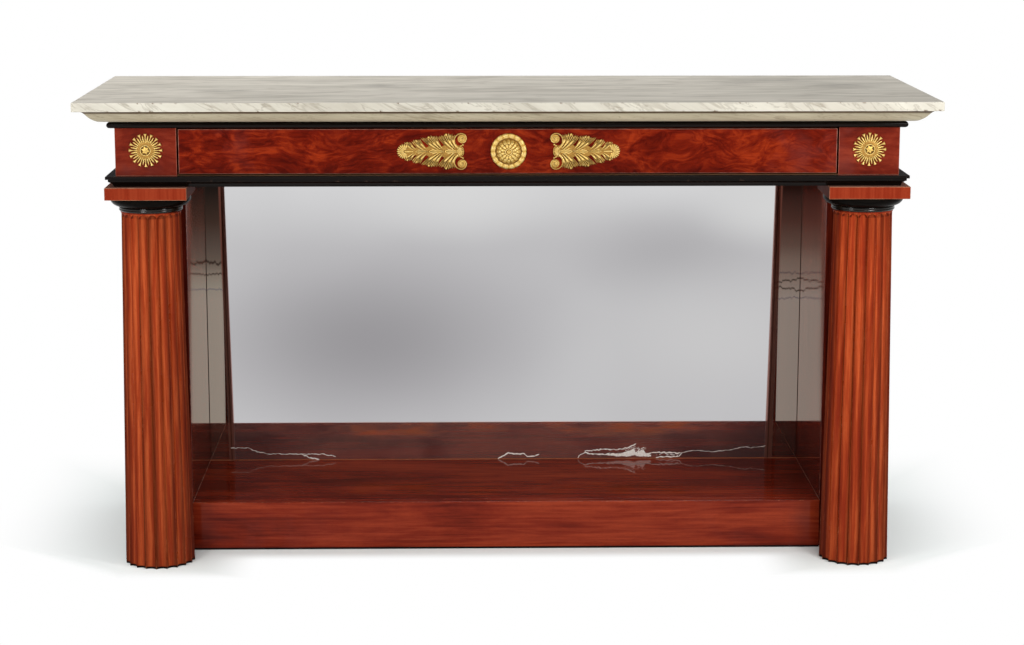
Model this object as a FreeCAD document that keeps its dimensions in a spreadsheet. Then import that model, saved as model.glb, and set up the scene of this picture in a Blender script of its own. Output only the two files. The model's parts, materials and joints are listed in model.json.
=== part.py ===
"""Empire pier table: a marble slab on a drawer frieze, carried by two fluted Doric columns in front
and two closed side boxes behind, with a mirror plate above a low platform between the boxes.

Frame: millimetres, +Z up, +X to the right of someone facing the table, +Y to the wall behind it.
The origin is on the floor under the middle of the slab.
"""
import FreeCAD, Part

import math
import os
from types import SimpleNamespace

import Sketcher

# Driving dimensions, in millimetres.
SIZES = {
    # overall
    "table_height": 940.0,
    "slab_width": 1670.0,
    "slab_depth": 592.0,
    # marble slab and its moulded edge
    "slab_thickness": 42.0,
    "slab_band": 17.6,
    "slab_quirk": 13.0,
    "slab_ogee": 29.0,
    "slab_ogee_sag": 2.2,
    "slab_overhang": 71.0,
    "carcass_setback": 4.0,
    # heights of the three layers under the slab
    "top_rail_height": 13.3,
    "frieze_height": 93.2,
    "soffit_height": 21.5,
    # top frame and frieze
    "top_rail_depth": 90.0,
    "kicker_width": 26.0,
    "back_rail_depth": 60.0,
    "block_width": 119.0,
    "block_depth": 90.0,
    "frieze_board": 22.0,
    "guide_thickness": 22.0,
    "guide_clearance": 0.5,
    # mouldings round the top frame and the soffit frame
    "bead_fillet": 9.8,
    "bead_fillet_height": 4.6,
    "bead_foot": 7.5,
    "bead_sag": 3.5,
    "cornice_projection": 18.3,
    "cornice_band": 6.5,
    "cornice_step": 4.2,
    "cornice_foot": 3.7,
    "cornice_foot_height": 2.5,
    "cornice_sag": 2.6,
    # soffit frame and drawer runners
    "soffit_front_depth": 150.0,
    "runner_width": 26.0,
    # drawer
    "drawer_side_gap": 3.5,
    "drawer_edge_gap": 3.0,
    "drawer_recess": 1.0,
    "drawer_front_thickness": 22.0,
    "drawer_back_gap": 42.0,
    "drawer_board": 12.0,
    "drawer_bottom": 8.0,
    "drawer_bottom_lift": 10.0,
    "drawer_groove": 6.0,
    "drawer_back_drop": 6.0,
    "kicker_clearance": 4.0,
    "running_gap": 0.3,
    "stop_width": 50.0,
    "stop_length": 30.0,
    "stop_height": 6.0,
    "stop_place": 400.0,
    # drawer knob
    "knob_radius": 35.0,
    "knob_plate": 3.0,
    "knob_rim": 4.5,
    "knob_groove": 4.0,
    "knob_dome_radius": 23.0,
    "knob_shoulder": 7.0,
    "knob_shoulder_sag": 1.9,
    "knob_height": 17.0,
    "knob_button_radius": 8.0,
    "knob_button_height": 2.0,
    "knob_stem_radius": 4.0,
    "knob_bore_clearance": 0.3,
    "knob_thread_end": 9.0,
    "nut_radius": 9.0,
    "nut_thickness": 5.0,
    "nut_clearance": 0.05,
    # ornaments
    "ornament_thickness": 5.5,
    "rosette_radius": 32.5,
    "rosette_rise": 3.0,
    "rosette_hub": 15.0,
    "rosette_hub_height": 7.0,
    "rosette_ray_foot": 1.5,
    "rosette_ray_tip": 4.2,
    "rosette_dart_radius": 27.0,
    "rosette_dart_tip": 0.6,
    "palmette_length": 137.0,
    "palmette_width": 72.0,
    "palmette_start": 81.5,
    "palmette_stem": 5.0,
    "palmette_leaf": 5.0,
    "palmette_volute": 11.0,
    # columns
    "abacus_width": 159.0,
    "abacus_height": 24.0,
    "abacus_projection": 24.0,
    "echinus_radius": 79.0,
    "echinus_fillet": 7.0,
    "echinus_height": 19.0,
    "echinus_sag": 3.0,
    "echinus_foot_radius": 63.5,
    "neck_radius": 62.0,
    "neck_foot_radius": 59.5,
    "neck_height": 10.0,
    "neck_sag": 1.6,
    "shaft_foot_radius": 69.6,
    "shaft_top_radius": 58.3,
    "collar_height": 5.5,
    "flute_depth": 4.2,
    "flute_scoop": 9.0,
    "dowel_radius": 14.0,
    "dowel_clearance": 0.1,
    "dowel_in_shaft": 60.0,
    "dowel_in_rail": 15.0,
    # side boxes
    "pilaster_thickness": 25.0,
    "side_panel": 18.0,
    "back_stile": 20.0,
    # platform
    "platform_height": 100.0,
    "platform_projection": 10.0,
    "platform_fascia": 22.0,
    "platform_board": 18.0,
    "bearer_width": 40.0,
    "bearer_spacing": 322.0,
    "bearer_lift": 10.0,
    # mirror
    "mirror_setback": 34.6,
    "mirror_thickness": 5.0,
    "mirror_groove": 4.0,
    "mirror_clearance": 0.3,
    "backboard_thickness": 10.0,
    "batten_width": 18.0,
}
FLUTE_COUNT = 20
RAY_COUNT = 16
LEAF_PAIRS = 4

# Shares and angles that set a shape, not a size.
OGEE_TURN = 0.42          # where the slab's ogee turns from hollow to round
SCOOP_LIFT = 0.95         # how much of its depth a flute has lost at the top of its scoop
STEM_END = 0.8            # the rest are shares of the palmette's length
TIP_ROOT = 0.6
ARM_END = 0.25
LEAF_ROOT = 0.24
LEAF_STEP = 0.1
FAN_CENTRE = 0.55
FAN_REACH = 0.43
FAN_FIRST = 100.0         # degrees from the stem to the first pair of leaves
FAN_LAST = 22.0

doc = FreeCAD.newDocument("PierTable")
sheet = doc.addObject("Spreadsheet::Sheet", "Sizes")
for row, (alias, number) in enumerate(SIZES.items(), start=1):
    sheet.set("A%d" % row, alias)
    sheet.set("B%d" % row, str(number))
    sheet.setAlias("B%d" % row, alias)
doc.recompute()


class Size:
    """A length that knows both its value and the expression that gives it from the sheet."""

    def __init__(self, value, text):
        self.value = value
        self.text = text

    def __add__(self, other):
        other = as_size(other)
        return Size(self.value + other.value, "(%s + %s)" % (self.text, other.text))

    def __sub__(self, other):
        other = as_size(other)
        return Size(self.value - other.value, "(%s - %s)" % (self.text, other.text))

    def __mul__(self, other):
        other = as_size(other)
        return Size(self.value * other.value, "(%s * %s)" % (self.text, other.text))

    def __truediv__(self, other):
        other = as_size(other)
        return Size(self.value / other.value, "(%s / %s)" % (self.text, other.text))

    def __neg__(self):
        return self * -1.0

    __radd__ = __add__
    __rmul__ = __mul__


def as_size(number):
    """A plain number as a Size, so that the two mix in a formula."""
    if isinstance(number, Size):
        return number
    return Size(float(number), "(%.9g)" % number)


d = SimpleNamespace(**{alias: Size(number, "Sizes." + alias) for alias, number in SIZES.items()})

# Heights of the layers, from the slab down to the floor.
z_top = d.table_height
z_slab = z_top - d.slab_thickness
z_frieze_top = z_slab - d.top_rail_height
z_frieze = z_frieze_top - d.frieze_height
z_soffit = z_frieze - d.soffit_height
z_abacus = z_soffit - d.abacus_height
z_echinus = z_abacus - d.echinus_height
z_shaft = z_echinus - d.neck_height
z_floor = as_size(0.0)

# Faces of the carcass.
x_side = d.slab_width / 2 - d.slab_overhang
y_front = d.slab_overhang - d.slab_depth / 2
y_back = d.slab_depth / 2 - d.carcass_setback
x_inner = x_side - d.block_width

# Column axis, the pilaster front at the back of the abacus, and the platform front.
x_column = x_side - d.block_width / 2
y_column = y_front - d.abacus_projection + d.abacus_width / 2
y_pilaster = y_column + d.abacus_width / 2
y_platform = y_pilaster - d.platform_projection

# Mirror plate, from its front face back.
y_mirror = y_back - d.mirror_setback
y_backboard = y_mirror + d.mirror_thickness + d.mirror_clearance
y_batten = y_backboard + d.backboard_thickness

# Drawer: front board, and the box behind it.
y_drawer = y_front + d.drawer_recess
y_drawer_box = y_drawer + d.drawer_front_thickness
x_drawer = x_inner - d.drawer_side_gap
z_drawer = z_frieze + d.drawer_edge_gap
z_drawer_top = z_frieze_top - d.drawer_edge_gap
z_drawer_side = z_frieze + d.running_gap
z_drawer_side_top = z_frieze_top - d.kicker_clearance
z_drawer_floor = z_drawer_side + d.drawer_bottom_lift
z_drawer_mid = (z_drawer + z_drawer_top) / 2

SIDES = (("left", -1), ("right", 1))
nodes = []


def keep(item, label):
    """Names a finished sub-part and puts it on the list of pieces to write."""
    item.Label = label
    nodes.append(item)


def bind(item, **values):
    """Binds properties to sizes; a double underscore in a name stands for the dot of a sub-property."""
    for name, size in values.items():
        item.setExpression(name.replace("__", "."), as_size(size).text)


def place(item, x=0.0, y=0.0, z=0.0):
    """Binds the position of an object."""
    bind(item, Placement__Base__x=x, Placement__Base__y=y, Placement__Base__z=z)


def box(name, x, y, z):
    """A board between pairs of planes: x, y and z are each a low and a high Size."""
    board = doc.addObject("Part::Box", name)
    bind(board, Length=x[1] - x[0], Width=y[1] - y[0], Height=z[1] - z[0])
    place(board, x[0], y[0], z[0])
    return board


def across(side, near, far):
    """The x range from near to far on one side of the middle plane, in rising order."""
    return (near, far) if side > 0 else (-far, -near)


def cylinder(name, radius, x, y, z):
    """An upright cylinder between two heights."""
    rod = doc.addObject("Part::Cylinder", name)
    bind(rod, Radius=radius, Height=z[1] - z[0])
    place(rod, x, y, z[0])
    return rod


def cut(name, base, tools):
    """The base less all the tools."""
    tool = tools[0]
    if len(tools) > 1:
        tool = doc.addObject("Part::MultiFuse", name + "_tools")
        tool.Shapes = tools
    result = doc.addObject("Part::Cut", name)
    result.Base = base
    result.Tool = tool
    return result


def group(name, items):
    """Several equal loose pieces as one object."""
    result = doc.addObject("Part::Compound", name)
    result.Links = items
    return result


def new_body(name):
    return doc.addObject("PartDesign::Body", name)


def new_sketch(body, name, plane, offset=None):
    """A sketch on one of the body's own base planes, moved along the plane's normal by offset."""
    sketch = body.newObject("Sketcher::SketchObject", name)
    support = next(item for item in body.Origin.OriginFeatures if item.Role == plane)
    sketch.AttachmentSupport = (support, [""])
    sketch.MapMode = "FlatFace"
    if offset is not None:
        bind(sketch, AttachmentOffset__Base__z=offset)
    return sketch


def pin_point(sketch, curve, end, point):
    """Holds one end of a curve at a point given by two sizes from the sketch origin."""
    for kind, size in zip(("DistanceX", "DistanceY"), point):
        index = sketch.addConstraint(Sketcher.Constraint(kind, -1, 1, curve, end, as_size(size).value))
        sketch.setExpression("Constraints[%d]" % index, as_size(size).text)


def ends_of(sketch, curve, first):
    """The two end numbers of a curve, the one at the point first before the other."""
    near = sketch.getPoint(curve, 1).distanceToPoint(first)
    far = sketch.getPoint(curve, 2).distanceToPoint(first)
    return (1, 2) if near <= far else (2, 1)


def outline(sketch, points, sags=None):
    """A closed outline through points; sags gives the rise of the arc that starts at a point.

    A positive rise bulges to the right of the way from one point to the next.
    """
    sags = sags or {}
    corners = [FreeCAD.Vector(as_size(x).value, as_size(y).value, 0) for x, y in points]
    curves = []
    for i, corner in enumerate(corners):
        following = corners[(i + 1) % len(corners)]
        if i in sags:
            chord = following - corner
            right = FreeCAD.Vector(chord.y, -chord.x, 0).normalize()
            middle = (corner + following) * 0.5 + right * sags[i].value
            shape = Part.Arc(corner, middle, following)
        else:
            shape = Part.LineSegment(corner, following)
        curve = sketch.addGeometry(shape, False)
        curves.append((curve, ends_of(sketch, curve, corner)))
    for i, (curve, ends) in enumerate(curves):
        following, starts = curves[(i + 1) % len(curves)]
        join = Sketcher.Constraint("Coincident", curve, ends[1], following, starts[0])
        sketch.addConstraint(join)
        pin_point(sketch, curve, ends[0], points[i])
        if i in sags:
            bind_radius(sketch, curve, points[i], points[(i + 1) % len(points)], sags[i])


def bind_radius(sketch, curve, start, end, sag):
    """Holds an arc's radius at the value that its chord and its rise give."""
    run = as_size(end[0]) - start[0]
    rise = as_size(end[1]) - start[1]
    radius = ((run * run + rise * rise) / 4 + sag * sag) / (abs_size(sag) * 2)
    index = sketch.addConstraint(Sketcher.Constraint("Radius", curve, radius.value))
    sketch.setExpression("Constraints[%d]" % index, radius.text)


def abs_size(size):
    return size if size.value >= 0 else -size


def circle(sketch, radius, x=0.0, y=0.0):
    """A full circle with its centre and radius held by sizes."""
    centre = FreeCAD.Vector(as_size(x).value, as_size(y).value, 0)
    curve = sketch.addGeometry(Part.Circle(centre, FreeCAD.Vector(0, 0, 1), radius.value), False)
    pin_point(sketch, curve, 3, (x, y))
    index = sketch.addConstraint(Sketcher.Constraint("Radius", curve, radius.value))
    sketch.setExpression("Constraints[%d]" % index, radius.text)


def pad(body, sketch, name, length, symmetric=False, back=False):
    """Pulls a sketch out along its normal, both ways if symmetric, the other way if back."""
    feature = body.newObject("PartDesign::Pad", name)
    feature.Profile = sketch
    bind(feature, Length=length)
    feature.SideType = "Symmetric" if symmetric else "One side"
    feature.Reversed = back
    return feature


def pocket(body, sketch, name):
    """Cuts a sketch right through the body, both ways."""
    feature = body.newObject("PartDesign::Pocket", name)
    feature.Profile = sketch
    feature.Type = "ThroughAll"
    feature.SideType = "Symmetric"
    return feature


def revolve(body, sketch, name):
    """Turns a sketch once round its own vertical axis."""
    feature = body.newObject("PartDesign::Revolution", name)
    feature.Profile = sketch
    feature.ReferenceAxis = (sketch, ["V_Axis"])
    feature.Angle = 360.0
    return feature


# ---------------------------------------------------------------------------------------------
# Marble slab
# ---------------------------------------------------------------------------------------------

def slab_edge(face, inward):
    """Points down the slab's moulded edge, from the top arris to the underside.

    face is the outer plane and inward the sign of the way in from it.
    """
    z_band = z_top - d.slab_band
    quirk = face + d.slab_quirk * inward
    foot = quirk + d.slab_ogee * inward
    middle = quirk + d.slab_ogee * (OGEE_TURN * inward)
    z_middle = z_band - (z_band - z_slab) * OGEE_TURN
    return [(face, z_top), (face, z_band), (quirk, z_band), (middle, z_middle), (foot, z_slab)]


def marble_top():
    """The slab: its front section is pulled across the width, then both ends are cut to the same edge."""
    body = new_body("MarbleTop")
    front = slab_edge(-d.slab_depth / 2, 1)
    section = new_sketch(body, "SlabSection", "YZ_Plane")
    outline(section, front + [(d.slab_depth / 2, z_slab), (d.slab_depth / 2, z_top)],
            {2: -d.slab_ogee_sag, 3: d.slab_ogee_sag})
    pad(body, section, "SlabPad", d.slab_width, symmetric=True)
    spare = d.slab_quirk
    for name, side in SIDES:
        ends = new_sketch(body, "SlabEnd_" + name, "XZ_Plane")
        edge = slab_edge(d.slab_width / 2 * side, -side)[1:]
        outer = d.slab_width / 2 * side + spare * side
        below = z_slab - spare
        sag = d.slab_ogee_sag * side
        outline(ends, edge + [(edge[-1][0], below), (outer, below), (outer, edge[0][1])],
                {1: sag, 2: -sag})
        pocket(body, ends, "SlabEndCut_" + name)
    keep(body, "marble_top")


# ---------------------------------------------------------------------------------------------
# Mouldings: strips on the front and both sides of a frame, mitred at the front corners
# ---------------------------------------------------------------------------------------------

def bead_profile(face, out):
    """Thin fillet over a half-round bead; face is the frame's plane and out the outward sign."""
    fillet = face + d.bead_fillet * out
    foot = face + d.bead_foot * out
    z_step = z_slab - d.bead_fillet_height
    points = [(face, z_slab), (fillet, z_slab), (fillet, z_step), (foot, z_frieze_top),
              (face, z_frieze_top)]
    return points, {2: d.bead_sag * -out}


def cornice_profile(face, out):
    """Flat band, step in, quarter-round and a small foot."""
    band = face + d.cornice_projection * out
    step = band - d.cornice_step * out
    foot = face + d.cornice_foot * out
    z_band = z_frieze - d.cornice_band
    z_foot = z_soffit + d.cornice_foot_height
    points = [(face, z_frieze), (band, z_frieze), (band, z_band), (step, z_band), (foot, z_foot),
              (foot, z_soffit), (face, z_soffit)]
    return points, {3: d.cornice_sag * -out}


def moulding(name, profile, reach):
    """Front and side strips of one moulding, meeting on mitres; reach is further out than any of it."""
    body = new_body(name + "_front")
    section = new_sketch(body, name + "FrontSection", "YZ_Plane")
    outline(section, *profile(y_front, -1))
    pad(body, section, name + "FrontPad", (x_side + reach) * 2, symmetric=True)
    for side_name, side in SIDES:
        mitre = new_sketch(body, name + "FrontMitre_" + side_name, "XY_Plane")
        far = (x_side + reach * 2) * side
        outline(mitre, [(x_side * side, y_front), (far, y_front - reach * 2), (far, y_front)])
        pocket(body, mitre, name + "FrontMitreCut_" + side_name)
    keep(body, name + "_front")
    for side_name, side in SIDES:
        body = new_body(name + "_" + side_name)
        section = new_sketch(body, name + "Section_" + side_name, "XZ_Plane", -y_back)
        outline(section, *profile(x_side * side, side))
        pad(body, section, name + "Pad_" + side_name, y_back - y_front + reach)
        mitre = new_sketch(body, name + "Mitre_" + side_name, "XY_Plane")
        far = (x_side + reach * 2) * side
        outline(mitre, [(x_side * side, y_front), (far, y_front - reach * 2),
                        (x_side * side, y_front - reach * 2)])
        pocket(body, mitre, name + "MitreCut_" + side_name)
        keep(body, name + "_" + side_name)


# ---------------------------------------------------------------------------------------------
# Top frame, frieze and soffit frame
# ---------------------------------------------------------------------------------------------

def top_frame():
    """The frame that the slab lies on; its side rails reach in over the drawer sides as kickers."""
    z = (z_frieze_top, z_slab)
    y_rail = y_front + d.top_rail_depth
    y_rear = y_back - d.back_rail_depth
    x_kicker = x_inner - d.kicker_width
    keep(box("TopFront", (-x_side, x_side), (y_front, y_rail), z), "top_rail_front")
    keep(box("TopBack", (-x_kicker, x_kicker), (y_rear, y_back), z), "top_rail_back")
    for name, side in SIDES:
        rail = box("TopSide_" + name, across(side, x_kicker, x_side), (y_rail, y_back), z)
        keep(rail, "top_rail_" + name)


def frieze():
    """Corner blocks, side boards, back board and the guides that the drawer slides between."""
    z = (z_frieze, z_frieze_top)
    y_block = y_front + d.block_depth
    y_rear = y_back - d.frieze_board
    x_board = x_side - d.frieze_board
    x_guide = x_drawer + d.guide_clearance
    keep(box("FriezeBack", (-x_board, x_board), (y_rear, y_back), z), "frieze_back")
    for name, side in SIDES:
        keep(box("Block_" + name, across(side, x_inner, x_side), (y_front, y_block), z),
             "corner_block_" + name)
        keep(box("FriezeSide_" + name, across(side, x_board, x_side), (y_block, y_back), z),
             "frieze_side_" + name)
        keep(box("Guide_" + name, across(side, x_guide, x_guide + d.guide_thickness), (y_block, y_rear), z),
             "drawer_guide_" + name)


def soffit_frame():
    """The frame that lies on the columns and side boxes, with the drawer's runners and stops."""
    z = (z_soffit, z_frieze)
    y_rail = y_front + d.soffit_front_depth
    y_rear = y_back - d.back_rail_depth
    z_hole = (z_soffit, z_soffit + d.dowel_in_rail)
    front = box("SoffitFrontBoard", (-x_side, x_side), (y_front, y_rail), z)
    hole = d.dowel_radius + d.dowel_clearance
    bores = [cylinder("SoffitBore_" + name, hole, x_column * side, y_column, z_hole)
             for name, side in SIDES]
    keep(cut("SoffitFront", front, bores), "soffit_rail_front")
    keep(box("SoffitBack", (-x_inner, x_inner), (y_rear, y_back), z), "soffit_rail_back")
    for name, side in SIDES:
        keep(box("SoffitSide_" + name, across(side, x_inner, x_side), (y_rail, y_back), z),
             "soffit_rail_" + name)
        keep(box("Runner_" + name, across(side, x_inner - d.runner_width, x_inner), (y_rail, y_rear), z),
             "drawer_runner_" + name)
    y_stop = y_drawer_box + d.running_gap
    stops = []
    for name, side in SIDES:
        x_near = d.stop_place - d.stop_width / 2
        stops.append(box("Stop_" + name, across(side, x_near, x_near + d.stop_width),
                         (y_stop, y_stop + d.stop_length), (z_frieze, z_frieze + d.stop_height)))
    keep(group("Stops", stops), "drawer_stops")


# ---------------------------------------------------------------------------------------------
# Drawer
# ---------------------------------------------------------------------------------------------

def drawer():
    """Front, grooved sides, back and a bottom that slides in the grooves."""
    y_end = y_back - d.frieze_board - d.drawer_back_gap
    x_box = x_drawer - d.drawer_board
    x_base = x_box + d.drawer_groove
    z_base = (z_drawer_floor, z_drawer_floor + d.drawer_bottom)
    y_base = y_drawer_box - d.drawer_groove
    board = box("DrawerFrontBoard", (-x_drawer, x_drawer), (y_drawer, y_drawer_box),
                (z_drawer, z_drawer_top))
    groove = box("DrawerFrontGroove", (-x_base, x_base), (y_base, y_drawer_box), z_base)
    bore = doc.addObject("Part::Cylinder", "KnobBore")
    bore.Placement = FreeCAD.Placement(FreeCAD.Vector(), FreeCAD.Rotation(FreeCAD.Vector(1, 0, 0), -90))
    bind(bore, Radius=d.knob_stem_radius + d.knob_bore_clearance, Height=d.drawer_front_thickness)
    place(bore, 0.0, y_drawer, z_drawer_mid)
    keep(cut("DrawerFront", board, [groove, bore]), "drawer_front")
    for name, side in SIDES:
        board = box("DrawerSideBoard_" + name, across(side, x_box, x_drawer), (y_drawer_box, y_end),
                    (z_drawer_side, z_drawer_side_top))
        groove = box("DrawerSideGroove_" + name, across(side, x_box, x_base), (y_drawer_box, y_end), z_base)
        keep(cut("DrawerSide_" + name, board, [groove]), "drawer_side_" + name)
    keep(box("DrawerBack", (-x_box, x_box), (y_end - d.drawer_board, y_end),
             (z_base[1], z_drawer_side_top - d.drawer_back_drop)), "drawer_back")
    keep(box("DrawerBottom", (-x_base, x_base), (y_base, y_end), z_base), "drawer_bottom")


def knob():
    """Turned brass patera with a threaded stem through the drawer front, and its round nut."""
    body = new_body("Knob")
    section = new_sketch(body, "KnobSection", "XY_Plane")
    y_thread = d.drawer_front_thickness + d.knob_thread_end
    x_rim = d.knob_dome_radius + d.knob_groove
    y_crown = d.knob_button_height - d.knob_height
    y_shoulder = y_crown + d.knob_shoulder
    x_crown = d.knob_dome_radius - d.knob_shoulder
    outline(section, [(0.0, y_thread), (d.knob_stem_radius, y_thread), (d.knob_stem_radius, 0.0),
                      (d.knob_radius, 0.0), (d.knob_radius, -d.knob_rim), (x_rim, -d.knob_rim),
                      (x_rim, -d.knob_plate), (d.knob_dome_radius, -d.knob_plate),
                      (d.knob_dome_radius, y_shoulder), (x_crown, y_crown), (d.knob_button_radius, y_crown),
                      (d.knob_button_radius, -d.knob_height), (0.0, -d.knob_height)],
            {8: -d.knob_shoulder_sag})
    revolve(body, section, "KnobTurning")
    place(body, 0.0, y_drawer, z_drawer_mid)
    keep(body, "knob")
    body = new_body("KnobNut")
    ring = new_sketch(body, "NutRing", "XZ_Plane")
    circle(ring, d.nut_radius)
    circle(ring, d.knob_stem_radius + d.nut_clearance)
    pad(body, ring, "NutPad", d.nut_thickness, back=True)
    place(body, 0.0, y_drawer_box, z_drawer_mid)
    keep(body, "knob_nut")


# ---------------------------------------------------------------------------------------------
# Cast ornaments, each a flat openwork casting on the face behind it
# ---------------------------------------------------------------------------------------------

def turned(radius, offset, angle):
    """The point at a radius along a ray and an offset across it, with the ray at an angle."""
    cosine, sine = math.cos(angle), math.sin(angle)
    return (radius * cosine - offset * sine, radius * sine + offset * cosine)


def ray_pad(body, name, angle, foot, tip):
    """One ray of the rosette: foot and tip are each a radius and a half width."""
    sketch = new_sketch(body, name + "Outline", "XZ_Plane")
    outline(sketch, [turned(foot[0], -foot[1], angle), turned(tip[0], -tip[1], angle),
                     turned(tip[0], tip[1], angle), turned(foot[0], foot[1], angle)])
    return pad(body, sketch, name, d.ornament_thickness)


def rosette(name, side):
    """Sunburst rosette: flared rays and shorter pointed ones round a hub."""
    body = new_body("Rosette_" + name)
    hub = new_sketch(body, "Hub_" + name, "XZ_Plane")
    circle(hub, d.rosette_hub)
    pad(body, hub, "HubPad_" + name, d.rosette_hub_height)
    axis = next(item for item in body.Origin.OriginFeatures if item.Role == "Y_Axis")
    inside = d.rosette_hub - d.rosette_ray_foot
    ray = ray_pad(body, "Ray_" + name, 0.0, (inside, d.rosette_ray_foot),
                  (d.rosette_radius, d.rosette_ray_tip))
    polar(body, ray, axis, "Rays_" + name)
    dart = ray_pad(body, "Dart_" + name, math.pi / RAY_COUNT, (inside, d.rosette_ray_foot),
                   (d.rosette_dart_radius, d.rosette_dart_tip))
    polar(body, dart, axis, "Darts_" + name)
    place(body, x_column * side, y_front, (z_frieze + z_frieze_top) / 2 + d.rosette_rise)
    keep(body, "rosette_" + name)


def polar(body, feature, axis, name, count=RAY_COUNT):
    """Repeats a feature evenly round an axis of the body and makes the pattern the body's result."""
    pattern = body.newObject("PartDesign::PolarPattern", name)
    pattern.Originals = [feature]
    pattern.Axis = (axis, [""])
    pattern.Angle = 360.0
    pattern.Occurrences = count
    pattern.Refine = False
    body.Tip = pattern
    return pattern


def leaf(body, name, start, end, sag):
    """A leaf between two points, with both edges bowed out by sag."""
    sketch = new_sketch(body, name + "Outline", "XZ_Plane")
    outline(sketch, [start, end], {0: sag, 1: sag})
    pad(body, sketch, name, d.ornament_thickness)


def palmette(name, side):
    """Palmette lying on its side: scrolls by the knob, leaves fanned along a stem, round tip outward."""
    body = new_body("Palmette_" + name)
    length, half = d.palmette_length * side, d.palmette_width / 2
    leaf(body, "Stem_" + name, (0.0, 0.0), (length * STEM_END, 0.0), d.palmette_stem)
    leaf(body, "Tip_" + name, (length * TIP_ROOT, 0.0), (length, 0.0), d.palmette_leaf)
    for edge_name, edge in (("Low", -1), ("High", 1)):
        suffix = edge_name + "_" + name
        x_scroll = d.palmette_volute * side
        z_scroll = (half - d.palmette_volute) * edge
        scroll = new_sketch(body, "Scroll" + suffix, "XZ_Plane")
        circle(scroll, d.palmette_volute, x_scroll, z_scroll)
        pad(body, scroll, "ScrollPad" + suffix, d.ornament_thickness)
        leaf(body, "Arm" + suffix, (x_scroll, z_scroll), (length * ARM_END, 0.0), d.palmette_stem)
        for i in range(LEAF_PAIRS):
            fan = math.radians(FAN_FIRST + (FAN_LAST - FAN_FIRST) * i / (LEAF_PAIRS - 1))
            tip = (length * (FAN_CENTRE + FAN_REACH * math.cos(fan)), half * (math.sin(fan) * edge))
            leaf(body, "Leaf%d%s" % (i, suffix), (length * (LEAF_ROOT + LEAF_STEP * i), 0.0), tip,
                 d.palmette_leaf)
    place(body, d.palmette_start * side, y_drawer, z_drawer_mid)
    keep(body, "palmette_" + name)


# ---------------------------------------------------------------------------------------------
# Columns
# ---------------------------------------------------------------------------------------------

def shaft(name, side):
    """Tapered shaft with sharp-edged flutes, each dying out in a scoop under the plain collar."""
    body = new_body("Shaft_" + name)
    height = z_shaft
    hole = d.dowel_radius + d.dowel_clearance
    z_hole = height - d.dowel_in_shaft
    section = new_sketch(body, "ShaftSection_" + name, "XZ_Plane")
    outline(section, [(0.0, 0.0), (d.shaft_foot_radius, 0.0), (d.shaft_top_radius, height),
                      (hole, height), (hole, z_hole), (0.0, z_hole)])
    revolve(body, section, "ShaftTurning_" + name)
    taper = (d.shaft_foot_radius - d.shaft_top_radius) / height
    z_end = height - d.collar_height
    stations = [(z_floor, 0.0), (z_end - d.flute_scoop, 0.0), (z_end, SCOOP_LIFT)]
    flute = flute_cut(body, name, taper, stations)
    axis = next(item for item in body.Origin.OriginFeatures if item.Role == "Z_Axis")
    polar(body, flute, axis, "Flutes_" + name, FLUTE_COUNT)
    place(body, x_column * side, y_column, 0.0)
    keep(body, "column_shaft_" + name)


def flute_cut(body, name, taper, stations):
    """A round-bottomed cut up the shaft.

    Each station is a height and a lift, the share of its depth by which the cut moves outward there.
    """
    half_step = math.pi / FLUTE_COUNT
    sections = []
    for i, (z, lift) in enumerate(stations):
        radius = d.shaft_foot_radius - taper * z
        depth = d.flute_depth * (radius / d.shaft_foot_radius)
        half_chord = radius * math.sin(half_step)
        sag = depth - radius * (1 - math.cos(half_step))
        bend = (half_chord * half_chord + sag * sag) / (sag * 2)
        sketch = new_sketch(body, "FluteSection%d_%s" % (i, name), "XY_Plane", z)
        circle(sketch, bend, radius - depth + bend + depth * lift, 0.0)
        sections.append(sketch)
    loft = body.newObject("PartDesign::SubtractiveLoft", "Flute_" + name)
    loft.Profile = sections[0]
    loft.Sections = sections[1:]
    loft.Ruled = True
    loft.Refine = False
    return loft


def capital(name, side):
    """Turned capital: a necking ring under the swelling echinus."""
    body = new_body("Capital_" + name)
    hole = d.dowel_radius + d.dowel_clearance
    z_ring = d.neck_height / 2
    top = d.neck_height + d.echinus_height
    section = new_sketch(body, "CapitalSection_" + name, "XZ_Plane")
    outline(section, [(hole, 0.0), (d.neck_foot_radius, 0.0), (d.neck_radius, z_ring),
                      (d.neck_radius, d.neck_height), (d.echinus_foot_radius, d.neck_height),
                      (d.echinus_radius, top - d.echinus_fillet), (d.echinus_radius, top), (hole, top)],
            {1: d.neck_sag, 4: d.echinus_sag})
    revolve(body, section, "CapitalTurning_" + name)
    place(body, x_column * side, y_column, z_shaft)
    keep(body, "capital_" + name)


def abacus(name, side):
    """Square block on the capital, its back against the pilaster."""
    x_near = x_column - d.abacus_width / 2
    z = (z_abacus, z_soffit)
    block = box("AbacusBlock_" + name, across(side, x_near, x_near + d.abacus_width),
                (y_front - d.abacus_projection, y_pilaster), z)
    bore = cylinder("AbacusBore_" + name, d.dowel_radius + d.dowel_clearance, x_column * side, y_column, z)
    keep(cut("Abacus_" + name, block, [bore]), "abacus_" + name)


def column_dowels():
    """Round tenons that pin each shaft, capital and abacus to the soffit rail."""
    z = (z_shaft - d.dowel_in_shaft, z_soffit + d.dowel_in_rail)
    keep(group("Dowels", [cylinder("Dowel_" + name, d.dowel_radius, x_column * side, y_column, z)
                          for name, side in SIDES]), "column_dowels")


# ---------------------------------------------------------------------------------------------
# Side boxes, platform and mirror
# ---------------------------------------------------------------------------------------------

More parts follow.
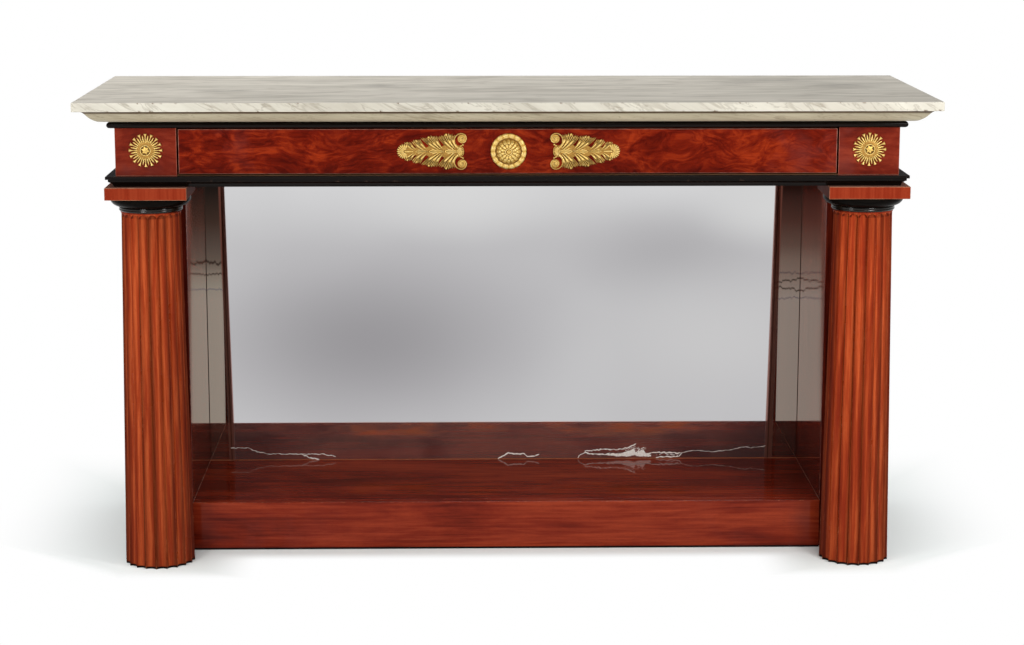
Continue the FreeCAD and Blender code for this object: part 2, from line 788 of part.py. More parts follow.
def side_box(name, side):
    """Closed box of pilaster, inner and outer panels and a back stile; the mirror's edge is let in."""
    z = (z_floor, z_soffit)
    y_panel = y_pilaster + d.pilaster_thickness
    x_core = (x_inner + d.side_panel, x_side - d.side_panel)
    keep(box("Pilaster_" + name, across(side, x_inner, x_side), (y_pilaster, y_panel), z),
         "pilaster_" + name)
    panel = box("InnerBoard_" + name, across(side, x_inner, x_core[0]), (y_panel, y_back), z)
    groove = box("MirrorGroove_" + name, across(side, x_inner, x_inner + d.mirror_groove),
                 (y_mirror - d.mirror_clearance, y_backboard), (d.platform_height, z_soffit))
    keep(cut("InnerPanel_" + name, panel, [groove]), "side_inner_panel_" + name)
    keep(box("OuterPanel_" + name, across(side, x_core[1], x_side), (y_panel, y_back), z),
         "side_outer_panel_" + name)
    keep(box("BackStile_" + name, across(side, *x_core), (y_back - d.back_stile, y_back), z),
         "side_back_stile_" + name)


def platform():
    """Low platform between the side boxes; the mirror stands on its back rail, not on the board."""
    y_board = y_platform + d.platform_fascia
    z_board = d.platform_height - d.platform_board
    x = (-x_inner, x_inner)
    keep(box("Fascia", x, (y_platform, y_board), (z_floor, d.platform_height)), "platform_front")
    keep(box("PlatformBoard", x, (y_board, y_mirror), (z_board, d.platform_height)), "platform_top")
    keep(box("PlatformRear", x, (y_mirror, y_back), (z_floor, d.platform_height)), "platform_back")
    bearers = []
    for i in (-1, 0, 1):
        x_low = d.bearer_spacing * i - d.bearer_width / 2
        bearers.append(box("Bearer_%d" % (i + 1), (x_low, x_low + d.bearer_width),
                           (y_board, y_mirror), (d.bearer_lift, z_board)))
    keep(group("Bearers", bearers), "platform_bearers")


def mirror():
    """Mirror plate let into the side panels, its backboard and the battens behind."""
    x_plate = x_inner + d.mirror_groove - d.mirror_clearance
    z = (d.platform_height, z_soffit)
    keep(box("MirrorPlate", (-x_plate, x_plate), (y_mirror, y_mirror + d.mirror_thickness),
             (d.platform_height, z_soffit - d.mirror_clearance)), "mirror_plate")
    keep(box("Backboard", (-x_inner, x_inner), (y_backboard, y_batten), z), "mirror_backboard")
    battens = [box("Batten_" + name, across(side, x_inner - d.batten_width, x_inner), (y_batten, y_back), z)
               for name, side in SIDES]
    keep(group("Battens", battens), "mirror_battens")


marble_top()
moulding("upper_moulding", bead_profile, d.bead_fillet + d.bead_sag)
moulding("lower_moulding", cornice_profile, d.cornice_projection)
top_frame()
frieze()
soffit_frame()
drawer()
knob()
for side_name, side_sign in SIDES:
    rosette(side_name, side_sign)
    palmette(side_name, side_sign)
    shaft(side_name, side_sign)
    capital(side_name, side_sign)
    abacus(side_name, side_sign)
    side_box(side_name, side_sign)
column_dowels()
platform()
mirror()
doc.recompute()

for item in doc.Objects:
    if "Invalid" in item.State or "Error" in item.State:
        raise RuntimeError("%s did not build: %s" % (item.Name, item.State))
for item in nodes:
    if item.Shape.isNull() or not item.Shape.isValid():
        raise RuntimeError("%s has no sound shape" % item.Label)
os.makedirs("parts", exist_ok=True)
for item in nodes:
    item.Shape.exportStep("parts/%s.step" % item.Label)
print("%d sub-parts written" % len(nodes))
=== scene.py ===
"""Looks of the Empire pier table, dressed round its packed carcass and drawer.

Lengths in the tables and calls below are millimetres in the frame of the part, and MM turns them
into metres; places in the finishes are metres. Z is up, X runs along the table and the front looks
towards negative Y. Tones are display colours, 0 to 255 a channel.
"""

import json
import math
import random

import bmesh
import bpy
from mathutils import Matrix, Vector


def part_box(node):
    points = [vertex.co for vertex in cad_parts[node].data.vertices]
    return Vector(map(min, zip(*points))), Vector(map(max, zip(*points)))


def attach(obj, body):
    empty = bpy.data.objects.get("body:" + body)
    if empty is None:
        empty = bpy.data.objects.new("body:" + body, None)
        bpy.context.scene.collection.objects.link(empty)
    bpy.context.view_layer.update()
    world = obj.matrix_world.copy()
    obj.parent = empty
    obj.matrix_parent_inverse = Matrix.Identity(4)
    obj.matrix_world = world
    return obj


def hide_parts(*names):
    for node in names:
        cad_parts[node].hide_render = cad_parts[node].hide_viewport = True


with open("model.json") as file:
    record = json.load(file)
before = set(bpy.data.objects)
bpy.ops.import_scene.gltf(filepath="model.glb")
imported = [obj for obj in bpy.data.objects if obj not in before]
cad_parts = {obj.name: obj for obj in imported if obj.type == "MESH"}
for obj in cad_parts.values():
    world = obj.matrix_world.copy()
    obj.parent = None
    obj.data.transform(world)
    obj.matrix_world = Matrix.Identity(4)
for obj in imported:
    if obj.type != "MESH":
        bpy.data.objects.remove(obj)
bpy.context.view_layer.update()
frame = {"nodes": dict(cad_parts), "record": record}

MM = 0.001
BODY_OF = {node: body for body, members in frame["record"]["behaviour"]["bodies"].items()
           for node in members}
SLOT_OF = {part["node"]: part["material_slot"] for part in frame["record"]["subparts"]}
SIDES = (("left", -1), ("right", 1))


# ==== Shader helpers ====

def shade(red, green, blue):
    """A display colour, 0 to 255 a channel, as a linear shader colour."""
    shares = [channel / 255 for channel in (red, green, blue)]
    return (*[s / 12.92 if s <= 0.04045 else ((s + 0.055) / 1.055) ** 2.4 for s in shares], 1.0)


def feed(socket, value):
    """Links a socket to the socket that feeds it, or gives it a value or a display colour."""
    if isinstance(value, bpy.types.NodeSocket):
        socket.id_data.links.new(value, socket)
    elif socket.type == "RGBA" and len(value) == 3:
        socket.default_value = shade(*value)
    else:
        socket.default_value = value


def node(tree, kind, inputs=None, **settings):
    """A shader node; inputs maps sockets to values or to the sockets that feed them."""
    made = tree.nodes.new("ShaderNode" + kind)
    for key, value in settings.items():
        setattr(made, key, value)
    for key, value in (inputs or {}).items():
        feed(made.inputs[key], value)
    return made


def fed_node(kind, inputs, **settings):
    """A shader node in the tree of the sockets that feed it."""
    fed_by = [value for value in inputs.values() if isinstance(value, bpy.types.NodeSocket)]
    return node(fed_by[0].id_data, kind, inputs, **settings)


def math_of(operation, *values):
    """Result of a Math node."""
    return fed_node("Math", dict(enumerate(values)), operation=operation).outputs[0]


def times(first, second):
    """Product of two values."""
    return math_of("MULTIPLY", first, second)


def plus(first, second):
    """Sum of two values."""
    return math_of("ADD", first, second)


def minus(first, second):
    """First value less the second."""
    return math_of("SUBTRACT", first, second)


def larger(first, second):
    """The larger of two values."""
    return math_of("MAXIMUM", first, second)


def size_of(value):
    """A value without its sign."""
    return math_of("ABSOLUTE", value)


def vector_of(operation, *values):
    """Result of a Vector Math node."""
    made = fed_node("VectorMath", dict(enumerate(values)), operation=operation)
    return made.outputs["Value"] if operation in ("DOT_PRODUCT", "DISTANCE") else made.outputs[0]


def scaled(vector, factors):
    """A vector with each axis times its own factor."""
    return vector_of("MULTIPLY", vector, factors)


def axes_of(vector):
    """Sockets X, Y and Z of a vector."""
    return fed_node("SeparateXYZ", {0: vector}).outputs


def facing_of(where):
    """Sockets X, Y and Z of the direction that the surface faces."""
    return axes_of(node(where.id_data, "NewGeometry").outputs["Normal"])


def painted(where, name):
    """A mask that was painted on the mesh."""
    return node(where.id_data, "Attribute", attribute_name=name).outputs["Fac"]


def ranged(value, low, high, to_low=0.0, to_high=1.0, kind="SMOOTHSTEP"):
    """The value mapped from one range to another and held at its ends."""
    return fed_node("MapRange", {"Value": value, "From Min": low, "From Max": high, "To Min": to_low,
                                 "To Max": to_high}, interpolation_type=kind).outputs[0]


def noise_of(vector, scale, detail=2.0, roughness=0.5, distortion=0.0):
    """Value of a fractal noise, about 0.5 in the middle."""
    return fed_node("TexNoise", {"Vector": vector, "Scale": scale, "Detail": detail,
                                 "Roughness": roughness, "Distortion": distortion}).outputs["Fac"]


def mixed(share, low, high, mode="MIX"):
    """Colour from low to high by share."""
    return fed_node("Mix", {0: share, 6: low, 7: high}, data_type="RGBA", blend_type=mode).outputs[2]


def laid(under, tone, mask, share):
    """A colour with a tone laid over it, by a share of a mask."""
    return mixed(times(mask, share), under, tone)


def ramp(value, stops):
    """Colour along a ramp of (place, display colour) stops."""
    made = fed_node("ValToRGB", {"Fac": value})
    elements = made.color_ramp.elements
    while len(elements) < len(stops):
        elements.new(0.5)
    for element, (place, colour) in zip(elements, stops):
        element.position = place
        element.color = shade(*colour)
    return made.outputs["Color"]


def new_group(name, inputs, outputs):
    """An empty shader node group with named sockets: its tree, its inputs and its output node."""
    tree = bpy.data.node_groups.new(name, "ShaderNodeTree")
    for label, default in inputs.items():
        kind = "NodeSocketVector" if default is None else "NodeSocketFloat"
        socket = tree.interface.new_socket(label, in_out="INPUT", socket_type=kind)
        if default is not None:
            socket.default_value = default
    for label in outputs:
        tree.interface.new_socket(label, in_out="OUTPUT", socket_type="NodeSocketFloat")
    return tree, tree.nodes.new("NodeGroupInput").outputs, tree.nodes.new("NodeGroupOutput").inputs


def placed(group_tree, inputs):
    """Outputs of a node group placed in a material with its own values."""
    return fed_node("Group", inputs, node_tree=group_tree).outputs


def new_material(name):
    """A material with a bare surface shader: the material, its shader and object coordinates."""
    material = bpy.data.materials.new(name)
    material.use_nodes = True
    tree = material.node_tree
    return material, tree.nodes["Principled BSDF"], node(tree, "TexCoord").outputs["Object"]


def set_shader(shader, **values):
    """Sets or links the surface shader's sockets; an underscore stands for a space."""
    for key, value in values.items():
        feed(shader.inputs[key.replace("_", " ")], value)


def bumped(height, strength, depth):
    """Normal from a height; depth is in metres."""
    return fed_node("Bump", {"Height": height, "Strength": strength, "Distance": depth}).outputs[0]


# ==== Effects that several finishes share ====

def build_grain():
    """Wood grain along X: the broad figure, its flecks, the streaks of the rings and the pores."""
    tree, given, out = new_group(
        "Wood Grain",
        {"Vector": None, "Figure Scale": 12.0, "Swirl": 0.05, "Stretch": 3.0, "Streak Scale": 160.0},
        ("Figure", "Fleck", "Streak", "Pores"))
    along = math_of("DIVIDE", 1.0, given["Stretch"])
    squeeze = fed_node("CombineXYZ", {0: along, 1: 1.0, 2: 1.0}).outputs[0]
    drawn = scaled(given["Vector"], squeeze)
    drift = noise_of(drawn, times(given["Figure Scale"], 0.45), 2.0)
    centred = vector_of("SUBTRACT", drift.node.outputs["Color"], (0.5, 0.5, 0.5))
    moved = fed_node("VectorMath", {0: centred, "Scale": given["Swirl"]}, operation="SCALE")
    swirled = vector_of("ADD", drawn, moved.outputs[0])
    leaning = fed_node("Mapping", {"Vector": swirled, "Rotation": (0.0, 0.5, 0.3),
                                   "Scale": (0.6, 1.4, 1.4)}).outputs[0]
    lined = scaled(given["Vector"], (0.035, 1.0, 1.0))
    dashes = scaled(given["Vector"], (0.06, 1.0, 1.0))
    figure = noise_of(swirled, given["Figure Scale"], 7.0, 0.6, 0.6)
    fleck = noise_of(leaning, times(given["Figure Scale"], 2.6), 5.0, 0.65, 1.3)
    streak = noise_of(lined, given["Streak Scale"], 4.0, 0.6)
    pores = noise_of(dashes, 1500.0, 1.0)
    for label, value, low, high in (("Figure", figure, 0.3, 0.7), ("Fleck", fleck, 0.32, 0.68),
                                    ("Streak", streak, 0.3, 0.7), ("Pores", pores, 0.6, 0.72)):
        feed(out[label], ranged(value, low, high))
    return tree


def build_wear():
    """Wear along an arris: the mask painted on the mesh, broken up by noise."""
    tree, given, out = new_group("Arris Wear", {"Vector": None, "Arris": 0.0, "Amount": 0.5},
                                 ("Mask",))
    rubbed = noise_of(given["Vector"], 70.0, 4.0, 0.65)
    least = minus(0.78, times(given["Amount"], 0.5))
    broken = ranged(rubbed, least, 0.8, kind="LINEAR")
    feed(out["Mask"], times(broken, given["Arris"]))
    return tree


def build_polish():
    """Hand polish: a roughness that drifts between two values, and slow ripples in the film."""
    tree, given, out = new_group("Hand Polish", {"Vector": None, "Least": 0.08, "Most": 0.2},
                                 ("Roughness", "Ripple"))
    rubbing = noise_of(given["Vector"], 9.0, 3.0)
    drifting = ranged(rubbing, 0.35, 0.7, given["Least"], given["Most"], kind="LINEAR")
    feed(out["Roughness"], drifting)
    feed(out["Ripple"], noise_of(given["Vector"], 22.0, 1.0))
    return tree


def build_dust_and_sheen():
    """Dust and painted sheen on ledges, where the surface faces up."""
    tree, given, out = new_group("Ledge Dust And Sheen", {"Amount": 0.5}, ("Mask",))
    upward = axes_of(node(tree, "NewGeometry").outputs["Normal"])["Z"]
    feed(out["Mask"], times(ranged(upward, 0.9, 0.99), given["Amount"]))
    return tree


WOOD_GRAIN = build_grain()
ARRIS_WEAR = build_wear()
HAND_POLISH = build_polish()
LEDGE_DUST_AND_SHEEN = build_dust_and_sheen()


def rubbed_arrises(where, amount):
    """Mask of the places where the polish is rubbed off an arris."""
    return placed(ARRIS_WEAR, {"Vector": where, "Arris": painted(where, "arris"),
                               "Amount": amount})["Mask"]


def hand_polish(where, gloss):
    """Roughness and ripple of a polish; gloss is its least and its most roughness."""
    return placed(HAND_POLISH, {"Vector": where, "Least": gloss[0], "Most": gloss[1]})


def ledge_dust_and_sheen(where, amount):
    """Mask of the dust and painted sheen on ledges."""
    return node(where.id_data, "Group", {"Amount": amount}, node_tree=LEDGE_DUST_AND_SHEEN).outputs["Mask"]


# ==== Finishes: woods ====

LYING = (0.0, 0.0, 0.0)                # turns of the grain: along X as it is,
UPRIGHT = (0.0, math.pi / 2, 0.0)      # up and down,
DEEP = (0.0, 0.0, math.pi / 2)         # from front to back
FLOOR_CONTACT_SHADOW = (0.0058, 0.0034)        # heights, in metres, of the painted contact shadow where the wood meets the floor
HAZY_ENDS = (0.2, 0.66)                # from the middle of the table to where the bloom is full


def aged_wood(where, colour, haze, dust, shaded):
    """Mahogany with stains and the shafts' painted shade, a painted contact shadow at the floor, hazy ends,
    dust and painted sheen on its ledges and painted shade on its inward flanks.
    """
    axes = axes_of(where)
    facing = facing_of(where)
    # stains, and the painted shade that the shafts carry on their mesh
    colour = laid(colour, (48, 10, 4), painted(where, "shade_and_stain"), 0.8)
    # painted contact shadow along the floor
    colour = mixed(ranged(axes["Z"], *FLOOR_CONTACT_SHADOW), colour, (12, 6, 4))
    bloom = ranged(noise_of(where, 11.0, 3.0, 0.6), 0.46, 0.72)
    bloom = times(bloom, ranged(size_of(axes["X"]), *HAZY_ENDS))
    colour = laid(colour, (112, 52, 46), bloom, haze)
    # dust and painted sheen on faces that look up
    colour = mixed(ledge_dust_and_sheen(where, dust), colour, (140, 116, 102))
    # painted shade on faces turned towards the middle of the table
    inward = ranged(times(facing["X"], math_of("SIGN", axes["X"])), -0.6, -0.95)
    return laid(colour, (52, 22, 14), inward, shaded)


def mahogany(name, dark, middle, light, turn=LYING, figure=12.0, swirl=0.05, stretch=3.0, streak=160.0,
             streak_share=0.25, fleck_share=0.0, gloss=(0.12, 0.26), mirroring=0.08, wear=0.5, ripple=0.35,
             worn=(190, 112, 78), haze=0.0, dust=0.0, shaded=0.0):
    """Polished mahogany veneer from three tones of one colour."""
    material, shader, where = new_material(name)
    turned = fed_node("Mapping", {"Vector": where, "Rotation": turn}).outputs[0]
    grain = placed(WOOD_GRAIN, {"Vector": turned, "Figure Scale": figure, "Swirl": swirl,
                                "Stretch": stretch, "Streak Scale": streak})
    tone = times(grain["Figure"], 1.0 - streak_share - fleck_share)
    for share, part in ((streak_share, "Streak"), (fleck_share, "Fleck")):
        tone = plus(tone, times(grain[part], share))
    colour = ramp(tone, [(0.15, dark), (0.5, middle), (0.85, light)])
    colour = laid(colour, dark, grain["Pores"], 0.45)
    colour = aged_wood(where, colour, haze, dust, shaded)
    rubbed = rubbed_arrises(where, wear)
    polish = hand_polish(where, gloss)
    set_shader(shader, Base_Color=mixed(rubbed, colour, worn),
               Roughness=plus(polish["Roughness"], times(rubbed, 0.3)),
               Specular_IOR_Level=mirroring, Normal=bumped(polish["Ripple"], ripple, 0.0006))
    return material


def ebonised_wood(name, mirroring, black, grey, gloss):
    """Black polished pearwood: brown-grey rubbing on its arrises, and dust and painted sheen on its ledges.
    """
    material, shader, where = new_material(name)
    rubbed = rubbed_arrises(where, 0.3)
    grain = placed(WOOD_GRAIN, {"Vector": where, "Streak Scale": 240.0})
    polish = hand_polish(where, gloss)
    # dust and painted sheen on the ledges
    tone = mixed(ledge_dust_and_sheen(where, 0.5), mixed(grain["Streak"], black, grey), (72, 70, 66))
    set_shader(shader, Base_Color=mixed(rubbed, tone, (84, 62, 50)),
               Roughness=polish["Roughness"], Specular_IOR_Level=mirroring,
               Normal=bumped(polish["Ripple"], 0.12, 0.0005))
    return material


def sawn_pine(name, turn=LYING):
    """Unpolished pine of the hidden boards and the back."""
    material, shader, where = new_material(name)
    turned = fed_node("Mapping", {"Vector": where, "Rotation": turn}).outputs[0]
    grain = placed(WOOD_GRAIN, {"Vector": turned, "Figure Scale": 7.0, "Swirl": 0.03,
                                "Stretch": 5.0, "Streak Scale": 110.0})
    tone = plus(times(grain["Figure"], 0.4), times(grain["Streak"], 0.6))
    colour = ramp(tone, [(0.2, (128, 88, 50)), (0.55, (168, 124, 78)), (0.9, (192, 150, 100))])
    set_shader(shader, Base_Color=colour, Normal=bumped(grain["Streak"], 0.4, 0.0004),
               Roughness=ranged(grain["Streak"], 0.0, 1.0, 0.6, 0.75))
    return material


# ==== Finishes: marble ====

ACROSS_BEDS = Vector((0.58, -3.9, 1.0)).normalized()     # the stone's beds lie in slanting planes
ALONG_BEDS = Vector((1.0, 0.0, -0.58)).normalized()
# Heights between which a tone of the marble comes or goes.
UPPER_FACE, UNDER_BAND, EDGE_FOOT = (0.9392, 0.9398), (0.922, 0.919), (0.905, 0.899)
QUIRK_HEAD, QUIRK_FOOT = (0.9228, 0.9222), (0.9150, 0.9192)
# Dull marks on the upper face: centre and radius in millimetres.
SMUDGES = ((582, 185, 150), (470, 110, 110), (690, 60, 150), (-240, 60, 110), (-560, -40, 90))
FLATTENED = 1.6                        # how much wider than deep a smudge is


def bedded(bed, stretch, scale, detail, distortion=0.0):
    """Noise drawn out along the beds of the stone."""
    return noise_of(scaled(bed, stretch), scale, detail, 0.62, distortion)


def vein(noise, width):
    """Line where a noise passes its middle value."""
    return ranged(size_of(minus(noise, 0.5)), width, 0.0)


def marble_edge(bed, height, patches):
    """Moulded edge: clouds, streaks, wide and fine veins, painted shade under the flat band, painted shade
    and dirt in its quirk, and painted shade towards the underside.
    """
    cloud = ranged(bedded(bed, (0.12, 0.35, 1.0), 26.0, 4.0), 0.36, 0.66)
    streak = ranged(bedded(bed, (0.03, 0.1, 1.0), 90.0, 5.0), 0.46, 0.72)
    wide = vein(bedded(bed, (0.09, 0.3, 1.0), 36.0, 4.0, 0.3), 0.036)
    fine = vein(bedded(bed, (0.09, 0.25, 1.0), 88.0, 4.0, 0.5), 0.026)
    tone = mixed(cloud, (208, 202, 188), (192, 185, 171))
    tone = laid(tone, (160, 151, 136), streak, 0.3)
    tone = laid(tone, (140, 128, 110), times(wide, patches), 0.46)
    tone = laid(tone, (120, 106, 88), fine, 0.34)
    # painted shade on the ogee under the flat band
    band_shade = times(ranged(height, *UNDER_BAND), 0.9)
    tone = mixed(band_shade, tone, (228, 218, 198), "MULTIPLY")
    # painted shade and dirt in the quirk under the band
    quirk = times(ranged(height, *QUIRK_HEAD), ranged(height, *QUIRK_FOOT))
    tone = mixed(quirk, tone, (80, 60, 40))
    # painted shade, darker towards the underside
    foot = ranged(height, *EDGE_FOOT, 0.0, 0.5)
    return mixed(foot, tone, (160, 148, 130))


def marble_top(bed, axes, drift, patches):
    """Upper face: greyer with use, soft veins, and painted light that darkens it towards the front and the
    right.
    """
    wide = vein(bedded(bed, (0.12, 0.3, 1.0), 9.0, 3.0, 0.4), 0.06)
    fine = vein(bedded(bed, (0.12, 0.25, 1.0), 22.0, 2.0, 0.3), 0.04)
    tone = mixed(drift, (222, 216, 203), (194, 189, 177))
    tone = laid(tone, (150, 144, 134), times(wide, patches), 0.4)
    tone = laid(tone, (142, 134, 122), fine, 0.3)
    # painted light across the top: paler towards the back and the left
    painted_light_slope = plus(times(axes["X"], -0.15), times(axes["Y"], 0.34))
    return mixed(1.0, tone, plus(painted_light_slope, 0.89), "MULTIPLY")


def smudged(where):
    """Mask of the dull marks on the upper face."""
    flat = scaled(where, (1.0, FLATTENED, 0.0))
    mask = 0.0
    for x, y, radius in SMUDGES:
        reach = vector_of("DISTANCE", flat, (x * MM, y * FLATTENED * MM, 0.0))
        mask = plus(mask, ranged(reach, radius * MM, 0.0))
    return mask


def veined_marble():
    """Cream marble: veined along its beds, dulled by use on its upper face."""
    material, shader, where = new_material("veined_marble")
    directions = (ALONG_BEDS, ACROSS_BEDS.cross(ALONG_BEDS), ACROSS_BEDS)
    shares = [vector_of("DOT_PRODUCT", where, tuple(axis)) for axis in directions]
    bed = fed_node("CombineXYZ", dict(enumerate(shares))).outputs[0]
    axes = axes_of(where)
    used = ranged(axes["Z"], *UPPER_FACE)
    patches = ranged(bedded(bed, (0.3, 0.5, 1.0), 16.0, 2.0), 0.44, 0.6)
    flow = scaled(where, (0.17, 1.0, 0.0))
    drift = ranged(noise_of(flow, 15.0, 4.0, 0.6, 0.35), 0.3, 0.7)
    edge = marble_edge(bed, axes["Z"], patches)
    top = marble_top(bed, axes, drift, patches)
    mottle = ranged(bedded(bed, (0.15, 0.4, 1.0), 60.0, 5.0), 0.35, 0.6)
    dulled = times(times(smudged(where), mottle), used)
    tone = laid(mixed(used, edge, top), (146, 142, 135), dulled, 0.7)
    tone = mixed(painted(where, "chip"), tone, (104, 80, 58))
    set_shader(shader, Base_Color=tone, Roughness=ranged(drift, 0.0, 1.0, 0.42, 0.5),
               Specular_IOR_Level=0.24)
    return material


# ==== Finishes: metal, glass and what lies on them ====

def gilt_bronze():
    """Mercury-gilt bronze: matt gold with brown patina in the recesses, and burnished tops painted paler as
    a highlight.
    """
    material, shader, where = new_material("gilt_bronze")
    recess = node(where.id_data, "AmbientOcclusion", {"Distance": 0.003}, samples=6).outputs["AO"]
    speck = noise_of(where, 420.0, 4.0, 0.6)
    relief = painted(where, "relief")
    patina = plus(ranged(recess, 0.7, 0.2), times(ranged(speck, 0.5, 0.75), 0.25))
    # burnish and a painted highlight on the raised tops
    raised_highlight = plus(times(relief, 0.75), times(ranged(speck, 0.3, 0.7), 0.25))
    gold = ramp(raised_highlight, [(0.0, (156, 112, 46)), (0.35, (204, 160, 74)),
                         (0.7, (230, 192, 102)), (1.0, (253, 226, 156))])
    set_shader(shader, Metallic=0.55, Base_Color=mixed(patina, gold, (92, 54, 20)),
               Roughness=ranged(relief, 0.0, 1.0, 0.6, 0.45),
               Normal=bumped(speck, 0.3, 0.0003))
    return material


def plain_brass():
    """Turned brass of the knob's nut."""
    material, shader, where = new_material("plain_brass")
    speck = noise_of(where, 300.0, 3.0)
    set_shader(shader, Metallic=1.0, Roughness=ranged(speck, 0.3, 0.7, 0.28, 0.42),
               Base_Color=mixed(speck, (190, 150, 80), (215, 178, 105)))
    return material


def deposit(name, noise, full, dark, light, roughness, mirroring):
    """A flecked deposit between two tones; noise is its scale, detail and roughness."""
    material, shader, where = new_material(name)
    fleck = ranged(noise_of(where, *noise), 0.35, full)
    set_shader(shader, Base_Color=mixed(fleck, dark, light), Roughness=roughness,
               Specular_IOR_Level=mirroring)
    return material


GLASS_FLATTENED = 0.51                 # height of a cloud in the glass over its width
# Clouding and painted reflection in the glass: x, z and reach in metres, and tone.
CLOUDS_AND_REFLECTION = (
    (-0.295, 0.366, 0.275, (154, 152, 155)), (0.355, 0.556, 0.15, (176, 175, 177)),
    (0.470, 0.37, 0.22, (199, 198, 199)), (-0.085, 0.71, 0.15, (214, 214, 214)),
    (0.60, 0.66, 0.12, (211, 211, 211)),
)
# Distances from the middle, and then heights, between which a tone of the glass comes or goes.
MARGIN_REFLECTION_EDGE, LINES_EDGE, GLASS_EDGE = (0.595, 0.601), (0.599, 0.602), (0.6436, 0.6444)
STRIP_INNER, STRIP_OUTER, DARK_LINE = (0.593, 0.5955), (0.6085, 0.6055), 0.6015
HAZE_FOOT, HAZE_HEAD, PATCHY_HEAD = (0.135, 0.165), (0.187, 0.180), (0.187, 0.181)
MARGIN_RISE, FOOT_LINE = (0.46, 0.70), (0.1022, 0.1010)
# Painted reflection of the side panels up each margin, by height on the glass.
LEFT_MARGIN_REFLECTION = (
    (0.0, (184, 171, 157)), (0.12, (175, 165, 150)), (0.23, (160, 146, 132)),
    (0.34, (124, 109, 97)), (0.48, (106, 91, 82)), (0.7, (79, 60, 51)),
    (1.0, (42, 34, 30)),
)
RIGHT_MARGIN_REFLECTION = (
    (0.0, (188, 172, 160)), (0.2, (166, 144, 131)), (0.34, (153, 130, 117)),
    (0.48, (125, 98, 87)), (0.7, (100, 66, 57)), (0.92, (72, 45, 39)),
    (1.0, (50, 28, 23)),
)
# Painted reflected lines across the margins: on the right or not, height, slope, thickness, tone and
# strength.
REFLECTED_LINES = (
    (False, 0.5396, 0.04, 0.0028, (60, 44, 36), 0.85),
    (False, 0.5155, -0.03, 0.0017, (62, 46, 36), 0.85),
    (False, 0.4817, 0.0, 0.0012, (112, 106, 124), 0.7),
    (True, 0.5144, 0.02, 0.0014, (92, 74, 82), 0.7),
    (True, 0.4974, 0.12, 0.0016, (62, 44, 34), 0.9),
    (True, 0.4795, -0.1, 0.0016, (62, 44, 34), 0.9),
    (True, 0.4577, 0.06, 0.0012, (104, 92, 110), 0.75),
)


def clouded_glass_and_reflection(where, height):
    """Grey of the glass as painted reflection with clouding: paler upwards, with soft clouds."""
    broad = ranged(noise_of(where, 2.6, 2.0), 0.3, 0.7)
    # painted reflection, paler up the glass
    rise = ranged(height, 0.56, 0.72)
    share = plus(times(broad, 0.2), times(rise, 0.7))
    grey = ramp(share, [(0.0, (189, 188, 190)), (1.0, (214, 214, 215))])
    flat = scaled(where, (GLASS_FLATTENED, 0.0, 1.0))
    for x, z, reach, tone in CLOUDS_AND_REFLECTION:
        apart = vector_of("DISTANCE", flat, (x * GLASS_FLATTENED, 0.0, z))
        grey = mixed(ranged(apart, reach, 0.0), grey, tone)
    return grey


def margin_reflections(where, height, margin, slanted, right_half, grey):
    """The glass with painted reflections of the side panels up both margins, wavering painted reflected
    lines across them and a painted shadow line at its edge.
    """
    climb = ranged(height, *MARGIN_RISE, kind="LINEAR")
    margin_reflection = mixed(right_half, ramp(climb, LEFT_MARGIN_REFLECTION), ramp(climb, RIGHT_MARGIN_REFLECTION))
    grey = mixed(ranged(slanted, *MARGIN_REFLECTION_EDGE), grey, margin_reflection)
    inside = ranged(slanted, *LINES_EDGE)
    left_half = minus(1.0, right_half)
    drawn = scaled(where, (1.0, 0.0, 0.03))
    for on_right, level, slope, thick, tone, strength in REFLECTED_LINES:
        moved = vector_of("ADD", drawn, (level * 7.0, 0.0, level))
        waver = ranged(noise_of(moved, 130.0, 4.0, 0.72), 0.2, 0.8, -0.006, 0.006)
        lean = times(minus(margin, 0.62), slope)
        centre = plus(plus(lean, level), waver)
        off = size_of(minus(height, centre))
        line = times(ranged(off, thick * 1.4, thick * 0.5), inside)
        line = times(line, right_half if on_right else left_half)
        grey = laid(grey, tone, line, strength)
    # painted shadow line where the glass meets the panels
    return mixed(ranged(margin, *GLASS_EDGE), grey, (60, 44, 38))


def glass_low_haze(where, height, margin):
    """Mask of the hazy band low on the glass and of the line at its foot."""
    smear = ranged(noise_of(scaled(where, (0.35, 1.0, 1.0)), 28.0, 4.0, 0.6), 0.3, 0.65)
    band = times(ranged(height, *HAZE_FOOT), ranged(height, *HAZE_HEAD))
    patchy = ranged(noise_of(where, 7.0, 3.0, 0.6), 0.3, 0.6, 0.1, 0.5)
    below = times(patchy, ranged(height, *PATCHY_HEAD))
    low_haze = larger(times(band, smear), below)
    low_haze = times(low_haze, ranged(margin, 0.56, 0.36, 0.45, 1.15))
    return larger(low_haze, ranged(height, *FOOT_LINE, 0.0, 1.6))


